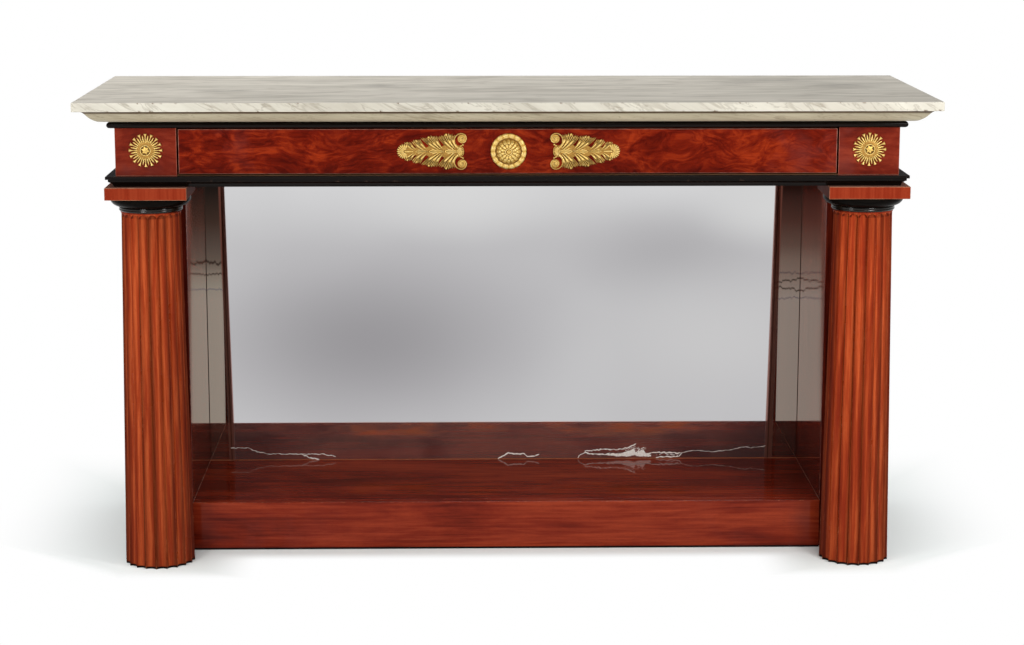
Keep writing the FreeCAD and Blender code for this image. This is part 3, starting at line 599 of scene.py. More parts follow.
def aged_mirror():
    """Old silvered plate: clouded grey with painted reflection, painted reflections of the side panels and
    of the columns' flanks at both margins, a painted shadow line at its edges, and an orange haze low down
    and along its foot.
    """
    material, shader, where = new_material("aged_mirror")
    axes = axes_of(where)
    height = axes["Z"]
    margin = size_of(axes["X"])
    right_half = ranged(axes["X"], -0.01, 0.01)
    leaning = times(minus(0.698, height), 0.02)
    slanted = plus(size_of(plus(axes["X"], 0.008)), leaning)
    grey = clouded_glass_and_reflection(where, height)
    grey = margin_reflections(where, height, margin, slanted, right_half, grey)
    low_haze = glass_low_haze(where, height, margin)
    # painted reflection of the columns' flanks: a brown strip near each margin
    outer = minus(slanted, times(right_half, 0.0035))
    strip = times(ranged(slanted, *STRIP_INNER), ranged(outer, *STRIP_OUTER))
    # with a darker painted line beside the strip
    beside = size_of(minus(slanted, DARK_LINE))
    grey = laid(grey, (228, 142, 98), low_haze, 0.85)
    grey = laid(grey, (138, 78, 62), strip, 0.85)
    grey = mixed(ranged(beside, 0.0016, 0.0006, 0.0, 0.7), grey, (56, 28, 22))
    fine = noise_of(where, 60.0, 3.0)
    # less silver under the haze and the painted strip, so that their tones show
    unsilvered_share = plus(times(low_haze, 0.22), times(strip, 0.36))
    set_shader(shader, Metallic=minus(1.0, unsilvered_share), Base_Color=grey,
               Roughness=ranged(fine, 0.4, 0.7, 0.012, 0.03))
    return material


FLAME = dict(figure=17.0, swirl=0.13, stretch=1.45, streak=150.0, streak_share=0.08, fleck_share=0.4,
             mirroring=0.04, wear=1.2, worn=(206, 150, 130), haze=0.4)
FRIEZE = dict(figure=14.0, swirl=0.08, stretch=1.6, streak_share=0.15, fleck_share=0.3,
              mirroring=0.04, wear=1.3, worn=(206, 130, 108), haze=0.5)
PLATFORM = dict(figure=9.0, swirl=0.05, stretch=4.5, streak_share=0.3, fleck_share=0.2,
                gloss=(0.04, 0.065), mirroring=0.1, ripple=0.1, haze=0.25)
STRAIGHT = dict(turn=UPRIGHT, figure=5.0, swirl=0.02, stretch=7.0, streak=150.0, streak_share=0.7)
COLUMN = dict(STRAIGHT, gloss=(0.24, 0.36), mirroring=0.05, wear=0.5, worn=(196, 126, 84))
ABACUS = dict(STRAIGHT, gloss=(0.42, 0.55), mirroring=0.02, wear=1.2, worn=(188, 142, 108), dust=0.6,
              shaded=0.8)
PANEL = dict(STRAIGHT, gloss=(0.05, 0.08), mirroring=0.3, ripple=0.05)
# Dark, middle and light tone of each veneer, and its other settings.
VENEERS = {
    "flame_mahogany": ((76, 10, 3), (110, 23, 7), (150, 46, 16), FLAME),
    "frieze_mahogany": ((84, 22, 14), (112, 33, 19), (136, 50, 31), FRIEZE),
    "column_mahogany": ((146, 46, 20), (174, 67, 30), (206, 94, 48), COLUMN),
    "abacus_mahogany": ((126, 38, 18), (134, 45, 23), (143, 53, 29), ABACUS),
    "panel_mahogany": ((60, 14, 7), (88, 24, 14), (112, 36, 20), PANEL),
    "platform_mahogany": ((78, 17, 6), (120, 35, 16), (150, 56, 29), PLATFORM),
}
FINISH = {name: mahogany(name, *tones, **settings) for name, (*tones, settings) in VENEERS.items()}
FINISH.update({
    "ebonised": ebonised_wood("ebonised_wood", 0.11, (9, 5, 3), (18, 11, 8), (0.09, 0.16)),
    "shaded_ebony": ebonised_wood("shaded_ebony", 0.03, (8, 6, 5), (16, 12, 9), (0.2, 0.3)),
    "turned_ebony": ebonised_wood("turned_ebony", 0.3, (10, 8, 6), (26, 20, 15), (0.12, 0.2)),
    "marble": veined_marble(),
    "gilt_bronze": gilt_bronze(),
    "brass": plain_brass(),
    "mirror": aged_mirror(),
    "lifted_silver": deposit("lifted_silver", (600.0, 3.0, 0.7), 0.6, (228, 220, 206), (255, 253, 247),
                             roughness=0.6, mirroring=0.5),
    "settled_dust": deposit("settled_dust", (120.0, 3.0, 0.6), 0.65, (96, 46, 36), (150, 108, 92),
                            roughness=0.5, mirroring=0.1),
    "pine": sawn_pine("sawn_pine"),
    "deep_pine": sawn_pine("sawn_pine_deep", DEEP),
    "upright_pine": sawn_pine("sawn_pine_upright", UPRIGHT),
})


# ==== Mesh helpers ====

def finished(name, bm, finish, nodes, body=None, crease=38.0):
    """Turns a bmesh into a named piece that stands for the nodes and rides on their body."""
    bmesh.ops.remove_doubles(bm, verts=bm.verts[:], dist=1e-7)
    bmesh.ops.recalc_face_normals(bm, faces=bm.faces[:])
    mesh = bpy.data.meshes.new(name)
    bm.to_mesh(mesh)
    bm.free()
    mesh.shade_smooth()
    mesh.set_sharp_from_angle(angle=math.radians(crease))
    mesh.materials.append(FINISH[finish])
    piece = bpy.data.objects.new(name, mesh)
    bpy.context.scene.collection.objects.link(piece)
    weighted = piece.modifiers.new("FlatFaces", "WEIGHTED_NORMAL")
    weighted.keep_sharp = True
    if nodes:
        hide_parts(*nodes)
    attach(piece, body or BODY_OF[nodes[0]])
    return piece


def polar(radius, angle):
    """Flat point at a radius and an angle in radians."""
    return radius * math.cos(angle), radius * math.sin(angle)


def arc(start, end, sag, steps):
    """Points of an arc after start up to end; a positive sag bulges to the right of the way."""
    a, b = Vector(start), Vector(end)
    chord = b - a
    right = Vector((chord.y, -chord.x)).normalized()
    radius = (chord.length_squared / 4 + sag * sag) / (2 * abs(sag))
    centre = (a + b) / 2 + right * (sag - math.copysign(radius, sag))
    first = math.atan2(a.y - centre.y, a.x - centre.x)
    last = math.atan2(b.y - centre.y, b.x - centre.x)
    sweep = (last - first + math.pi) % math.tau - math.pi
    return [(centre.x + radius * math.cos(first + sweep * i / steps),
             centre.y + radius * math.sin(first + sweep * i / steps)) for i in range(1, steps + 1)]


def curve(a, b, c, t):
    """Point at t, 0 to 1, of the curve from a to c that is drawn towards b."""
    return a * (1 - t) ** 2 + b * (2 * t * (1 - t)) + c * t ** 2


def eased(points, radius, closed=True):
    """A profile with its sharp corners rounded to a small radius."""
    result = []
    count = len(points)
    for i, point in enumerate(points):
        here = Vector(point)
        if not closed and i in (0, count - 1):
            result.append(tuple(here))
            continue
        before, after = Vector(points[i - 1]) - here, Vector(points[(i + 1) % count]) - here
        if before.length < 1e-6 or after.length < 1e-6:
            continue
        if before.angle(after) > math.radians(150):
            result.append(tuple(here))
            continue
        reach = min(radius, before.length * 0.45, after.length * 0.45)
        a, b = here + before.normalized() * reach, here + after.normalized() * reach
        result += [tuple(curve(a, here, b, k / 3)) for k in range(4)]
    return result


def loft(bm, rings, closed=True, caps=True):
    """Faces between rings of equal length; closed joins each ring's ends."""
    rows = [[bm.verts.new(point) for point in ring] for ring in rings]
    count = len(rows[0])
    for low, high in zip(rows, rows[1:]):
        for i in range(count if closed else count - 1):
            j = (i + 1) % count
            bm.faces.new((low[i], low[j], high[j], high[i]))
    if caps:
        bm.faces.new(rows[0])
        bm.faces.new(rows[-1][::-1])
    return rows


def turning(bm, section, centre, count=128):
    """A solid of revolution about a vertical axis from (radius, height) points."""
    rings = []
    for radius, z in section:
        rings.append([(Vector(centre) + Vector((*polar(radius, math.tau * i / count), z))) * MM
                      for i in range(count)])
    return loft(bm, rings)


def mask_layer(bm, name):
    """A named mask on the vertices, from 0 to 1, that the finishes read; made before the mesh."""
    return bm.verts.layers.float.get(name) or bm.verts.layers.float.new(name)


def board(node_name, finish, ease=0.9):
    """A squared board in the place of its node, with eased arrises that the wear can find."""
    low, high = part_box(node_name)
    bm = bmesh.new()
    bmesh.ops.create_cube(bm, size=1.0, matrix=Matrix.LocRotScale((low + high) / 2, None, high - low))
    bmesh.ops.bevel(bm, geom=bm.edges[:], offset=ease * MM, segments=4, profile=0.5, affect="EDGES")
    arris = mask_layer(bm, "arris")
    near = ease * MM * 0.9
    for vert in bm.verts:
        outside = sum(1 for k in range(3) if min(vert.co[k] - low[k], high[k] - vert.co[k]) < near)
        vert[arris] = 1.0 if outside >= 2 else 0.0
    return finished(node_name + "_board", bm, finish, [node_name])


# ==== Marble slab ====

SLAB_X, SLAB_Y = 835.0, 296.0          # half of its length and of its depth
SLAB_TOP, SLAB_UNDER = 940.0, 898.0
SLAB_BAND = 922.4                      # lower arris of the flat band
SLAB_EASE = 1.0                        # radius of the eased arrises
CHIPS = 44


def slab_section():
    """Edge of the slab as (inset, height) points, from its upper face to its underside."""
    turn, quirk, foot = (23.4, 914.4), 13.6, (42.5, 900.0)
    section = eased([(30.0, SLAB_TOP), (0.0, SLAB_TOP), (0.0, SLAB_BAND), (quirk, SLAB_BAND)],
                    SLAB_EASE, closed=False)
    section[5:5] = [(0.0, SLAB_TOP - 3.5), (0.0, SLAB_TOP - 6.0), (0.0, SLAB_BAND + 6.0),
                    (0.0, SLAB_BAND + 3.5)]
    section[1:1] = [(3.0, SLAB_TOP)]
    section += arc((quirk, SLAB_BAND - 0.4), turn, -0.8, 7) + arc(turn, foot, 1.6, 9)
    return section + arc(foot, (57.0, SLAB_UNDER), 0.4, 5) + [(62.0, SLAB_UNDER)]


def slab_path(inset):
    """Points round the left end, the front and the right end, at an inset from the slab's edge."""
    along, ends = 700, 120
    side_run = SLAB_Y * 2 - inset
    front_run = (SLAB_X - inset) * 2
    left = [(-SLAB_X + inset, SLAB_Y - side_run * i / ends) for i in range(ends)]
    front = [(-SLAB_X + inset + front_run * i / along, -SLAB_Y + inset) for i in range(along + 1)]
    right = [(SLAB_X - inset, -SLAB_Y + inset + side_run * i / ends) for i in range(1, ends + 1)]
    return left + front + right


def chip_depth(chips, x, upper):
    """How deep the chips at x go into the upper or the lower arris of the flat band."""
    depth = 0.0
    for centre, reach, deep, on_upper in chips:
        if on_upper == upper and abs(x - centre) < reach:
            depth = max(depth, deep * (1 - ((x - centre) / reach) ** 2))
    return depth


def slab():
    """The slab: its moulded edge runs round the front and both ends; the back is square."""
    rng = random.Random(11)
    chips = [(rng.uniform(-830, 830), rng.uniform(0.8, 2.8), rng.uniform(0.2, 0.8), rng.random() < 0.5)
             for _ in range(CHIPS)]
    bm = bmesh.new()
    chip_mask = mask_layer(bm, "chip")
    rings, depths = [], []
    for inset, z in slab_section():
        at_top = abs(z - SLAB_TOP) < SLAB_EASE * 1.1
        at_arris = inset < 2.0 and (at_top or abs(z - SLAB_BAND) < SLAB_EASE * 1.1)
        pull = -0.7 if at_top else 0.7
        ring, ring_depths = [], []
        for x, y in slab_path(inset):
            on_front = y < -SLAB_Y + inset + 0.1
            depth = chip_depth(chips, x, at_top) if on_front and at_arris else 0.0
            ring.append(Vector((x, y + depth, z + pull * depth)) * MM)
            ring_depths.append(min(1.0, depth * 1.6))
        rings.append(ring)
        depths.append(ring_depths)
    made = loft(bm, rings, closed=False, caps=True)
    bm.faces.new([row[0] for row in made][::-1] + [row[-1] for row in made])
    for row, ring_depths in zip(made, depths):
        for vert, depth in zip(row, ring_depths):
            vert[chip_mask] = depth
    finished("marble_slab", bm, "marble", ["marble_top"], crease=45.0)


# ==== Ebonised mouldings ====

def moulding(node_stem, section):
    """Strips along the front and both ends, mitred at the front corners.

    The section is a closed outline of (projection, height) about the carcass faces.
    """
    face_x, face_y, back = 764.0, 225.0, 292.0
    for side_name, side in (("front", 0), *SIDES):
        bm = bmesh.new()
        arris = mask_layer(bm, "arris")
        rings = []
        stations = 24 if side == 0 else 9
        for k in range(stations + 1):
            share = k / stations
            ring = []
            for out, z in section:
                if side == 0:
                    reach = face_x + out
                    ring.append(Vector((-reach + 2 * reach * share, -face_y - out, z)) * MM)
                else:
                    near = -face_y - out
                    ring.append(Vector(((face_x + out) * side, near + (back - near) * share, z)) * MM)
            rings.append(ring)
        made = loft(bm, rings)
        for row in made:
            for i, vert in enumerate(row):
                before, after = section[i - 1], section[(i + 1) % len(section)]
                here = Vector(section[i])
                bend = (here - Vector(before)).angle(Vector(after) - here, 0.0)
                vert[arris] = 1.0 if bend > math.radians(22) and here.x > 0.5 else 0.0
        node_name = "%s_%s" % (node_stem, side_name)
        finished(node_name + "_strip", bm, "ebonised", [node_name], crease=50.0)


def bead_section():
    """Half-round bead hard under the slab."""
    face, middle, reach = 0.0, 7.2, 6.1
    upper, lower = 898.0, 884.7
    top = eased([(face, upper), (middle, upper), (middle, upper - 0.8)], 0.3, closed=False)
    bulge = arc((middle, upper - 0.8), (middle, lower + 0.2), -reach, 18)
    return top + bulge + [(middle - 0.6, lower), (face, lower)]


def cornice_section():
    """Flat band, small fillet, hollow and a foot."""
    face, band, step, foot = 0.0, 18.3, 13.5, 3.7
    top = eased([(face, 791.5), (band, 791.5), (band, 785.8), (step, 785.2), (step, 780.8)], 0.5,
                closed=False)
    hollow = arc((step, 780.8), (foot + 0.4, 772.8), 1.3, 12)
    return top + hollow + [(foot, 772.0), (foot, 770.0), (face, 770.0)]


# ==== Columns ====

COLUMN_X, COLUMN_Y = 704.5, -169.5     # axis of the right column; the left one mirrors it
FLUTES, FLUTE_STEPS = 20, 24
FOOT_RADIUS, HEAD_RADIUS, FLUTE_DEPTH = 69.6, 58.3, 6.8
SHAFT_TOP = 717.0
FLUTE_END = SHAFT_TOP - 3.4            # top of the flutes, under the collar
ARCH = 9.0                             # height of the round arch that ends a flute


def shaft_levels():
    """Heights of the shaft's rings, each with how far it is eased there."""
    levels = [(0.0, 1.4), (0.5, 0.6), (1.2, 0.0), (8.0, 0.0), (12.0, 0.0)]
    levels += [(30.0 + 82.0 * i, 0.0) for i in range(9)]
    levels += [(FLUTE_END - ARCH + ARCH * i / 10, 0.0) for i in range(11)]
    return levels + [(FLUTE_END + 0.4, 0.0), (SHAFT_TOP - 0.8, 0.0), (SHAFT_TOP - 0.2, 0.3),
                     (SHAFT_TOP, 0.9)]


def flute_shade_and_stain(z, climb, hollow, across, angle, run, lean, side):
    """Painted shade and stain in a flute: stain runs from its head; painted shade under its arch, by its
    arrises and leaning across it, towards the foot, on flanks turned from the front and more on the left
    column.
    """
    if z >= FLUTE_END:
        return 0.0
    rise = 1.0 if climb > 0 else 0.5 if z > 650 else 0.0
    # painted shade under the round arch at the head of the flute
    arch_shade = 0.8 if 0.1 < climb < 1.0 and 0.02 < hollow < 0.7 else 0.0
    # painted shade towards the arrises, leaning across the flute
    edge = 0.56 * min(1.0, max(0.0, abs(across) - 0.2) / 0.8) ** 1.3 + lean * across
    # painted shade on the flanks turned away from the front
    turned_away_shade = 0.22 * (1 - max(0.0, -math.sin(angle))) ** 2
    # painted shade, uneven from flute to flute and stronger on the left column
    uneven_shade = 0.22 * run * (1.0 if side < 0 else 0.25)
    # painted shade that deepens towards the foot of the shaft
    foot = 0.32 * max(0.0, 1 - z / 660) ** 0.6 + uneven_shade + turned_away_shade
    return min(1.0, max(0.0, run * rise * hollow * 0.7 + arch_shade + edge + foot))


def shaft(side_name, side):
    """Tapered shaft with sharp flutes that end in round arches under the collar."""
    rng = random.Random(3 + side)
    runs = [rng.uniform(0.1, 1.0) for _ in range(FLUTES)]
    # how far the painted shade of each flute leans towards one arris
    shade_leans = [rng.uniform(-0.34, 0.34) for _ in range(FLUTES)]
    bm = bmesh.new()
    # the second mask holds stains and painted shade
    arris, shade_and_stain = mask_layer(bm, "arris"), mask_layer(bm, "shade_and_stain")
    rings, marks = [], []
    for z, shrink in shaft_levels():
        radius = FOOT_RADIUS - (FOOT_RADIUS - HEAD_RADIUS) * z / SHAFT_TOP - shrink
        climb = (z - (FLUTE_END - ARCH)) / ARCH
        width = 1.0 if climb <= 0 else math.sqrt(max(0.0, 1 - min(climb, 1.0) ** 2))
        depth = FLUTE_DEPTH * radius / FOOT_RADIUS * min(1.0, width * 1.15)
        rubbing = 1.0 if z < 9 else 0.6 if z < 40 else 0.3
        ring, mark = [], []
        for i in range(FLUTES * FLUTE_STEPS):
            flute = i // FLUTE_STEPS
            across = 2 * ((i % FLUTE_STEPS) / FLUTE_STEPS) - 1
            angle = math.tau * i / (FLUTES * FLUTE_STEPS)
            hollow = max(0.0, 1 - (abs(across) / (width * 0.97)) ** 2) ** 0.72 if width > 0.01 else 0.0
            x, y = polar(radius - depth * hollow, angle)
            ring.append(Vector((COLUMN_X * side + x, COLUMN_Y + y, z)) * MM)
            on_arris = hollow < 0.08 and climb < 0
            mark.append((rubbing if on_arris else 0.0,
                         flute_shade_and_stain(z, climb, hollow, across, angle, runs[flute], shade_leans[flute], side)))
        rings.append(ring)
        marks.append(mark)
    for row, mark in zip(loft(bm, rings), marks):
        for vert, (rubbed, shaded_and_stained) in zip(row, mark):
            vert[arris], vert[shade_and_stain] = rubbed, shaded_and_stained
    finished("fluted_shaft_" + side_name, bm, "column_mahogany", ["column_shaft_" + side_name],
             crease=60.0)


def collar(side_name, side):
    """Plain ring at the head of the shaft."""
    low = FLUTE_END + 0.3
    bm = bmesh.new()
    mask_layer(bm, "arris")
    section = eased([(54.0, low), (59.3, low), (59.3, SHAFT_TOP), (54.0, SHAFT_TOP)], 1.0, closed=False)
    turning(bm, section, (COLUMN_X * side, COLUMN_Y, 0.0))
    finished("shaft_collar_" + side_name, bm, "abacus_mahogany", [], body="carcass")


def capital(side_name, side):
    """Turned capital: a swelling neck ring under the echinus, with a fine quirk between them."""
    neck = [(30.0, 0.0), (59.5, 0.0)] + arc((59.5, 0.0), (62.0, 5.0), 1.6, 8)
    neck += arc((62.0, 5.0), (61.6, 9.4), 0.5, 4) + [(61.0, 9.8), (30.0, 9.8)]
    echinus = [(30.0, 9.8), (61.0, 9.9), (63.5, 10.2)] + arc((63.5, 10.2), (79.0, 22.0), 3.0, 14)
    echinus += [(79.0, 28.4), (78.5, 29.0), (30.0, 29.0)]
    for name, section, finish, nodes in (("neck", neck, "turned_ebony", []),
                                         ("echinus", echinus, "shaded_ebony", ["capital_" + side_name])):
        bm = bmesh.new()
        turning(bm, section, (COLUMN_X * side, COLUMN_Y, SHAFT_TOP))
        finished("turned_%s_%s" % (name, side_name), bm, finish, nodes, body="carcass",
                 crease=50.0)


# ==== Cast ornaments: drawn flat as (u, v) with w standing out from the face, then set on the face ====

PLATE = 0.9                            # thickness of the thin ground of a casting
DRAWER_FACE, BLOCK_FACE = -224.0, -225.0
DRAWER_MIDDLE, BLOCK_MIDDLE = 838.1, 841.1


def rib(bm, spine, widths, heights, steps=6):
    """A round-backed rib along a spine of (u, v, w) points; its back is marked as relief."""
    relief = mask_layer(bm, "relief")
    points = [Vector(point) for point in spine]
    rings = []
    for i, point in enumerate(points):
        ahead = points[min(i + 1, len(points) - 1)] - points[max(i - 1, 0)]
        across = Vector((-ahead.y, ahead.x, 0.0)).normalized()
        rings.append([point + across * (widths[i] * math.cos(math.pi * k / steps))
                      + Vector((0.0, 0.0, heights[i] * math.sin(math.pi * k / steps)))
                      for k in range(steps + 1)])
    for row in loft(bm, rings):
        for k, vert in enumerate(row):
            vert[relief] = math.sin(math.pi * k / steps) ** 2


def bent(start, bend, end, base, count=9):
    """Points of a curve from start to end, drawn towards the bend."""
    a, b, c = Vector(start), Vector(bend), Vector(end)
    flat = [curve(a, b, c, i / (count - 1)) for i in range(count)]
    return [(point.x, point.y, base) for point in flat]


def finger(bm, root, tip, width, height, bend=None, base=PLATE * 0.6, start=0.35, count=9):
    """A tapering finger of a leaf that widens to a rounded end."""
    middle = bend or ((root[0] + tip[0]) / 2, (root[1] + tip[1]) / 2)
    widths, heights = [], []
    for i in range(count):
        t = i / (count - 1)
        swell = start + (1 - start) * min(1.0, t / 0.65)
        end = math.sqrt(max(0.0, 1 - (max(0.0, t - 0.7) / 0.3) ** 2))
        widths.append(width * swell * max(end, 0.08))
        heights.append(height * (0.55 + 0.45 * math.sin(math.pi * min(1.0, t * 1.1))) * max(end, 0.1))
    rib(bm, bent(root, middle, tip, base, count), widths, heights)


def plate(bm, outline, thickness=PLATE):
    """A thin ground of the casting."""
    loft(bm, [[(u, v, 0.0) for u, v in outline], [(u, v, thickness) for u, v in outline]])


def dome(bm, centre, radii, height, base=0.0, count=24, steps=6):
    """A rounded boss, marked as relief towards its top."""
    relief = mask_layer(bm, "relief")
    rings = []
    for k in range(steps + 1):
        lean = math.pi / 2 * k / (steps + 0.3)
        rings.append([(centre[0] + radii[0] * math.cos(lean) * math.cos(math.tau * i / count),
                       centre[1] + radii[1] * math.cos(lean) * math.sin(math.tau * i / count),
                       base + height * math.sin(lean)) for i in range(count)])
    for k, row in enumerate(loft(bm, rings)):
        for vert in row:
            vert[relief] = k / steps


def ring_of(bm, centre, radius, thick, height, base=0.0, count=48):
    """A raised round ring."""
    relief = mask_layer(bm, "relief")
    rows = []
    for i in range(count):
        out = Vector((*polar(1.0, math.tau * i / count), 0.0))
        middle = Vector((centre[0], centre[1], base)) + out * radius
        rows.append([bm.verts.new(middle + out * (thick * math.cos(math.pi * k / 6))
                                  + Vector((0.0, 0.0, height * math.sin(math.pi * k / 6))))
                     for k in range(7)])
    for i, low in enumerate(rows):
        high = rows[(i + 1) % count]
        for k in range(7):
            low[k][relief] = math.sin(math.pi * k / 6)
            j = (k + 1) % 7
            bm.faces.new((low[k], low[j], high[j], high[k]))


def polar_spine(angle, stations):
    """A radial spine from (radius, w) stations."""
    return [(*polar(r, angle), w) for r, w in stations]


def turned_ground(bm, profile, count=96):
    """A turned ground about the w axis from (radius, w) points."""
    loft(bm, [[(*polar(r, math.tau * i / count), w) for i in range(count)] for r, w in profile])


def set_on_face(bm, centre, tallest, side=1):
    """Moves a flat drawing to an upright face; nothing then stands out further than the tallest."""
    for vert in bm.verts:
        u, v, w = vert.co
        vert.co = (Vector(centre) + Vector((u * side, -min(w, tallest), v))) * MM


# Each leaf of the upper half as (u, v): where its near side starts and bends, the same for its far
# side, its tips from near to far with their widths, and the boldness of its relief.
LEAVES = (
    ((19.5, 8.0), (26.0, 17.0), (27.5, 3.0), (47.0, 11.0),
     ((24.2, 33.2, 1.1), (28.6, 34.2, 1.2), (31.6, 33.4, 1.9), (35.4, 35.4, 2.1), (39.8, 35.4, 2.1),
      (44.0, 33.6, 2.0), (47.2, 30.8, 1.6), (50.0, 32.2, 1.1), (53.6, 30.8, 1.1), (57.0, 29.4, 1.1)),
     1.0),
    ((46.0, 6.0), (54.5, 14.0), (57.5, 3.0), (76.0, 9.6),
     ((59.6, 30.8, 1.1), (63.2, 30.2, 1.2), (66.0, 30.0, 1.8), (69.8, 31.0, 2.0), (73.6, 29.8, 1.9),
      (77.0, 27.2, 1.7), (80.0, 27.6, 1.1), (83.0, 26.4, 1.1), (86.0, 27.2, 1.0), (89.2, 26.6, 1.0)),
     0.94),
    ((76.5, 5.2), (85.0, 11.4), (86.0, 2.8), (99.5, 7.0),
     ((91.4, 23.8, 1.0), (94.2, 23.0, 1.0), (97.0, 22.4, 1.5), (100.4, 23.6, 1.6), (103.8, 22.4, 1.5),
      (106.6, 19.4, 1.3)),
     0.82),
    ((98.0, 4.2), (104.5, 8.6), (103.5, 3.0), (112.0, 7.0),
     ((109.4, 17.4, 1.1), (112.2, 18.4, 1.1), (115.4, 18.2, 0.9), (118.4, 18.2, 0.9), (121.4, 17.6, 0.9)),
     0.66),
)
# Upper edge of the ground under the whole palmette.
PALMETTE_GROUND = ((5.8, 6.4), (9.0, 10.0), (20.0, 12.0), (31.0, 12.5), (43.0, 13.0), (47.5, 9.6),
                   (60.0, 11.6), (72.0, 11.4), (77.5, 7.6), (88.0, 8.4), (97.0, 8.2), (103.0, 6.0),
                   (113.0, 6.4))
# Spirals of the scroll as (angle in degrees, radius): its outer band and the curl on its disc.
SCROLL_BAND = ((-52, 17.6), (-30, 16.2), (0, 14.6), (25, 13.2), (50, 12.1), (75, 11.2), (100, 10.5),
               (125, 9.9), (150, 9.3), (180, 8.7), (215, 8.2), (250, 8.0))
SCROLL_CURL = ((250, 7.4), (290, 7.0), (330, 6.6), (370, 6.2), (410, 5.7), (450, 5.2), (490, 4.7),
               (530, 4.1), (570, 3.5), (610, 2.8))


def leaf(bm, edge, near_root, near_bend, far_root, far_bend, tips, bold):
    """A leaf fanned out of fingers, its middle standing highest, on a ground of its own."""
    near_side = bent(near_root, near_bend, tips[0][:2], 0.0)
    far_side = bent(far_root, far_bend, tips[-1][:2], 0.0)
    heart = (sum(tip[0] for tip in tips) / len(tips),
             sum(tip[1] for tip in tips) / len(tips) - 8.0 * bold)
    crown = [(u + (heart[0] - u) * 0.27, v + (heart[1] - v) * 0.27) for u, v, _ in tips]
    outline = [point[:2] for point in near_side[:-1]] + crown + [point[:2] for point in far_side[-2::-1]]
    plate(bm, [(u, v * edge) for u, v in outline], 1.3)
    last = len(tips) - 1
    for i, (u, v, width) in enumerate(tips):
        share = i / last
        root = Vector(near_root).lerp(Vector(far_root), share)
        bend = Vector(near_bend).lerp(Vector(far_bend), share)
        arch = math.sin(math.pi * share)
        way = bent(root, bend, (u, v), 0.0)
        start, turn = way[3][:2], way[6][:2]
        finger(bm, (start[0], start[1] * edge), (u, v * edge), width * 0.66, (2.6 + 1.0 * arch) * bold,
               (turn[0], turn[1] * edge), 0.7 + 0.4 * arch, 0.5)
        if i % 3 == 1:
            finger(bm, (root.x, root.y * edge), (turn[0], turn[1] * edge), 2.9 * bold, 4.0 * bold,
                   (start[0], start[1] * edge), 0.8, 0.4)
    middle = tips[last // 2]
    dome(bm, ((middle[0] * 3 + heart[0]) / 4, (middle[1] * 3 + heart[1]) / 4 * edge),
         (2.4 * bold, 2.6 * bold), 2.2 * bold, 2.4 * bold, 14, 4)


def scroll(bm, edge):
    """A volute: a disc in the curl of a band that comes up from the shell."""
    middle = Vector((9.4, 24.2))

    def spiral(turns, base):
        """Spine round the middle of the disc."""
        around = [polar(radius, math.radians(angle)) for angle, radius in turns]
        return [(middle.x + u, (middle.y + v) * edge, base) for u, v in around]

    rib(bm, [(16.4, 6.4 * edge, 0.5), *spiral(SCROLL_BAND, 0.5)], [2.6, 1.9] + [1.25] * 11,
        [3.6, 3.4] + [3.0 - 0.1 * i for i in range(11)])
    dome(bm, (middle.x, middle.y * edge), (8.6, 8.6), 1.6, 0.4)
    rib(bm, spiral(SCROLL_CURL, 1.2), [1.1] * 9 + [0.8], [2.4] * 10)
    dome(bm, (middle.x, middle.y * edge), (2.3, 2.3), 2.4, 1.6, 16, 4)
    dome(bm, (7.3, 13.0 * edge), (2.1, 2.1), 3.2, 0.0, 16, 5)
    rib(bm, [(8.6, 12.0 * edge, 0.4), (12.5, 10.6 * edge, 0.4)], [0.8, 1.4], [1.6, 2.0])


def palmette_shell(bm):
    """Fan of seven fingers between the two scrolls, bound by two arched bands."""
    for i in range(7):
        lean = math.radians(-66 + 22 * i)
        rim = (16.0 - 10.4 * math.cos(lean), 9.6 * math.sin(lean))
        finger(bm, (19.0, rim[1] * 0.2), rim, 1.7, 2.4, None, 1.2, 0.4)
    band = [(8.4, -8.0, 0.8), (6.5, -4.4, 0.8), (5.9, 0.0, 0.8), (6.5, 4.4, 0.8), (8.4, 8.0, 0.8)]
    rib(bm, band, [1.0] * 5, [3.2] * 5)
    rib(bm, [(16.8, -4.4, 2.2), (17.3, 0.0, 2.6), (16.8, 4.4, 2.2)], [1.0] * 3, [2.0] * 3)


def palmette_stem(bm):
    """Three sheaths of fingers along the middle, each with a boss and a band, and a last stalk."""
    for start, reach, swell in ((18.0, 26.0, 1.0), (46.0, 28.5, 0.9), (77.0, 24.0, 0.72)):
        for edge in (1, -1):
            for spread, length, width in ((2.2, 0.95, 1.5), (5.6, 0.8, 1.6), (9.2, 0.6, 1.5)):
                run = reach * length
                finger(bm, (start, 0.8 * edge), (start + run, spread * swell * edge), width * swell, 2.5,
                       (start + run * 0.55, spread * 0.25 * edge), 0.9, 0.5)
        dome(bm, (start + reach - 2.6, 0.0), (2.6, 1.7 * swell), 2.6, 1.2, 16, 4)
        half = 3.4 * swell
        rib(bm, [(start - 0.6, -half, 1.6), (start - 0.2, 0.0, 1.8), (start - 0.6, half, 1.6)],
            [0.8] * 3, [2.0, 2.3, 2.0])
    rib(bm, [(104.0, 0.0, 0.8), (112.0, 0.0, 1.0), (120.5, 0.0, 1.0)], [1.6, 2.3, 2.0], [2.2, 2.8, 2.6])


def palmette_tip(bm):
    """Round fan at the far end, on a ground of its own."""
    for i in range(13):
        lean, rise = polar(1.0, math.radians(-108 + 18 * i))
        finger(bm, (120.0 + 3.0 * lean, 3.0 * rise), (121.2 + 14.9 * lean, 14.9 * rise), 1.9, 2.6, None,
               0.9, 0.5)
    around = [polar(13.0, math.radians(-108 + 12 * i)) for i in range(19)]
    plate(bm, [(110.0, -2.4), *[(121.0 + u, v) for u, v in around], (110.0, 2.4)], 1.3)


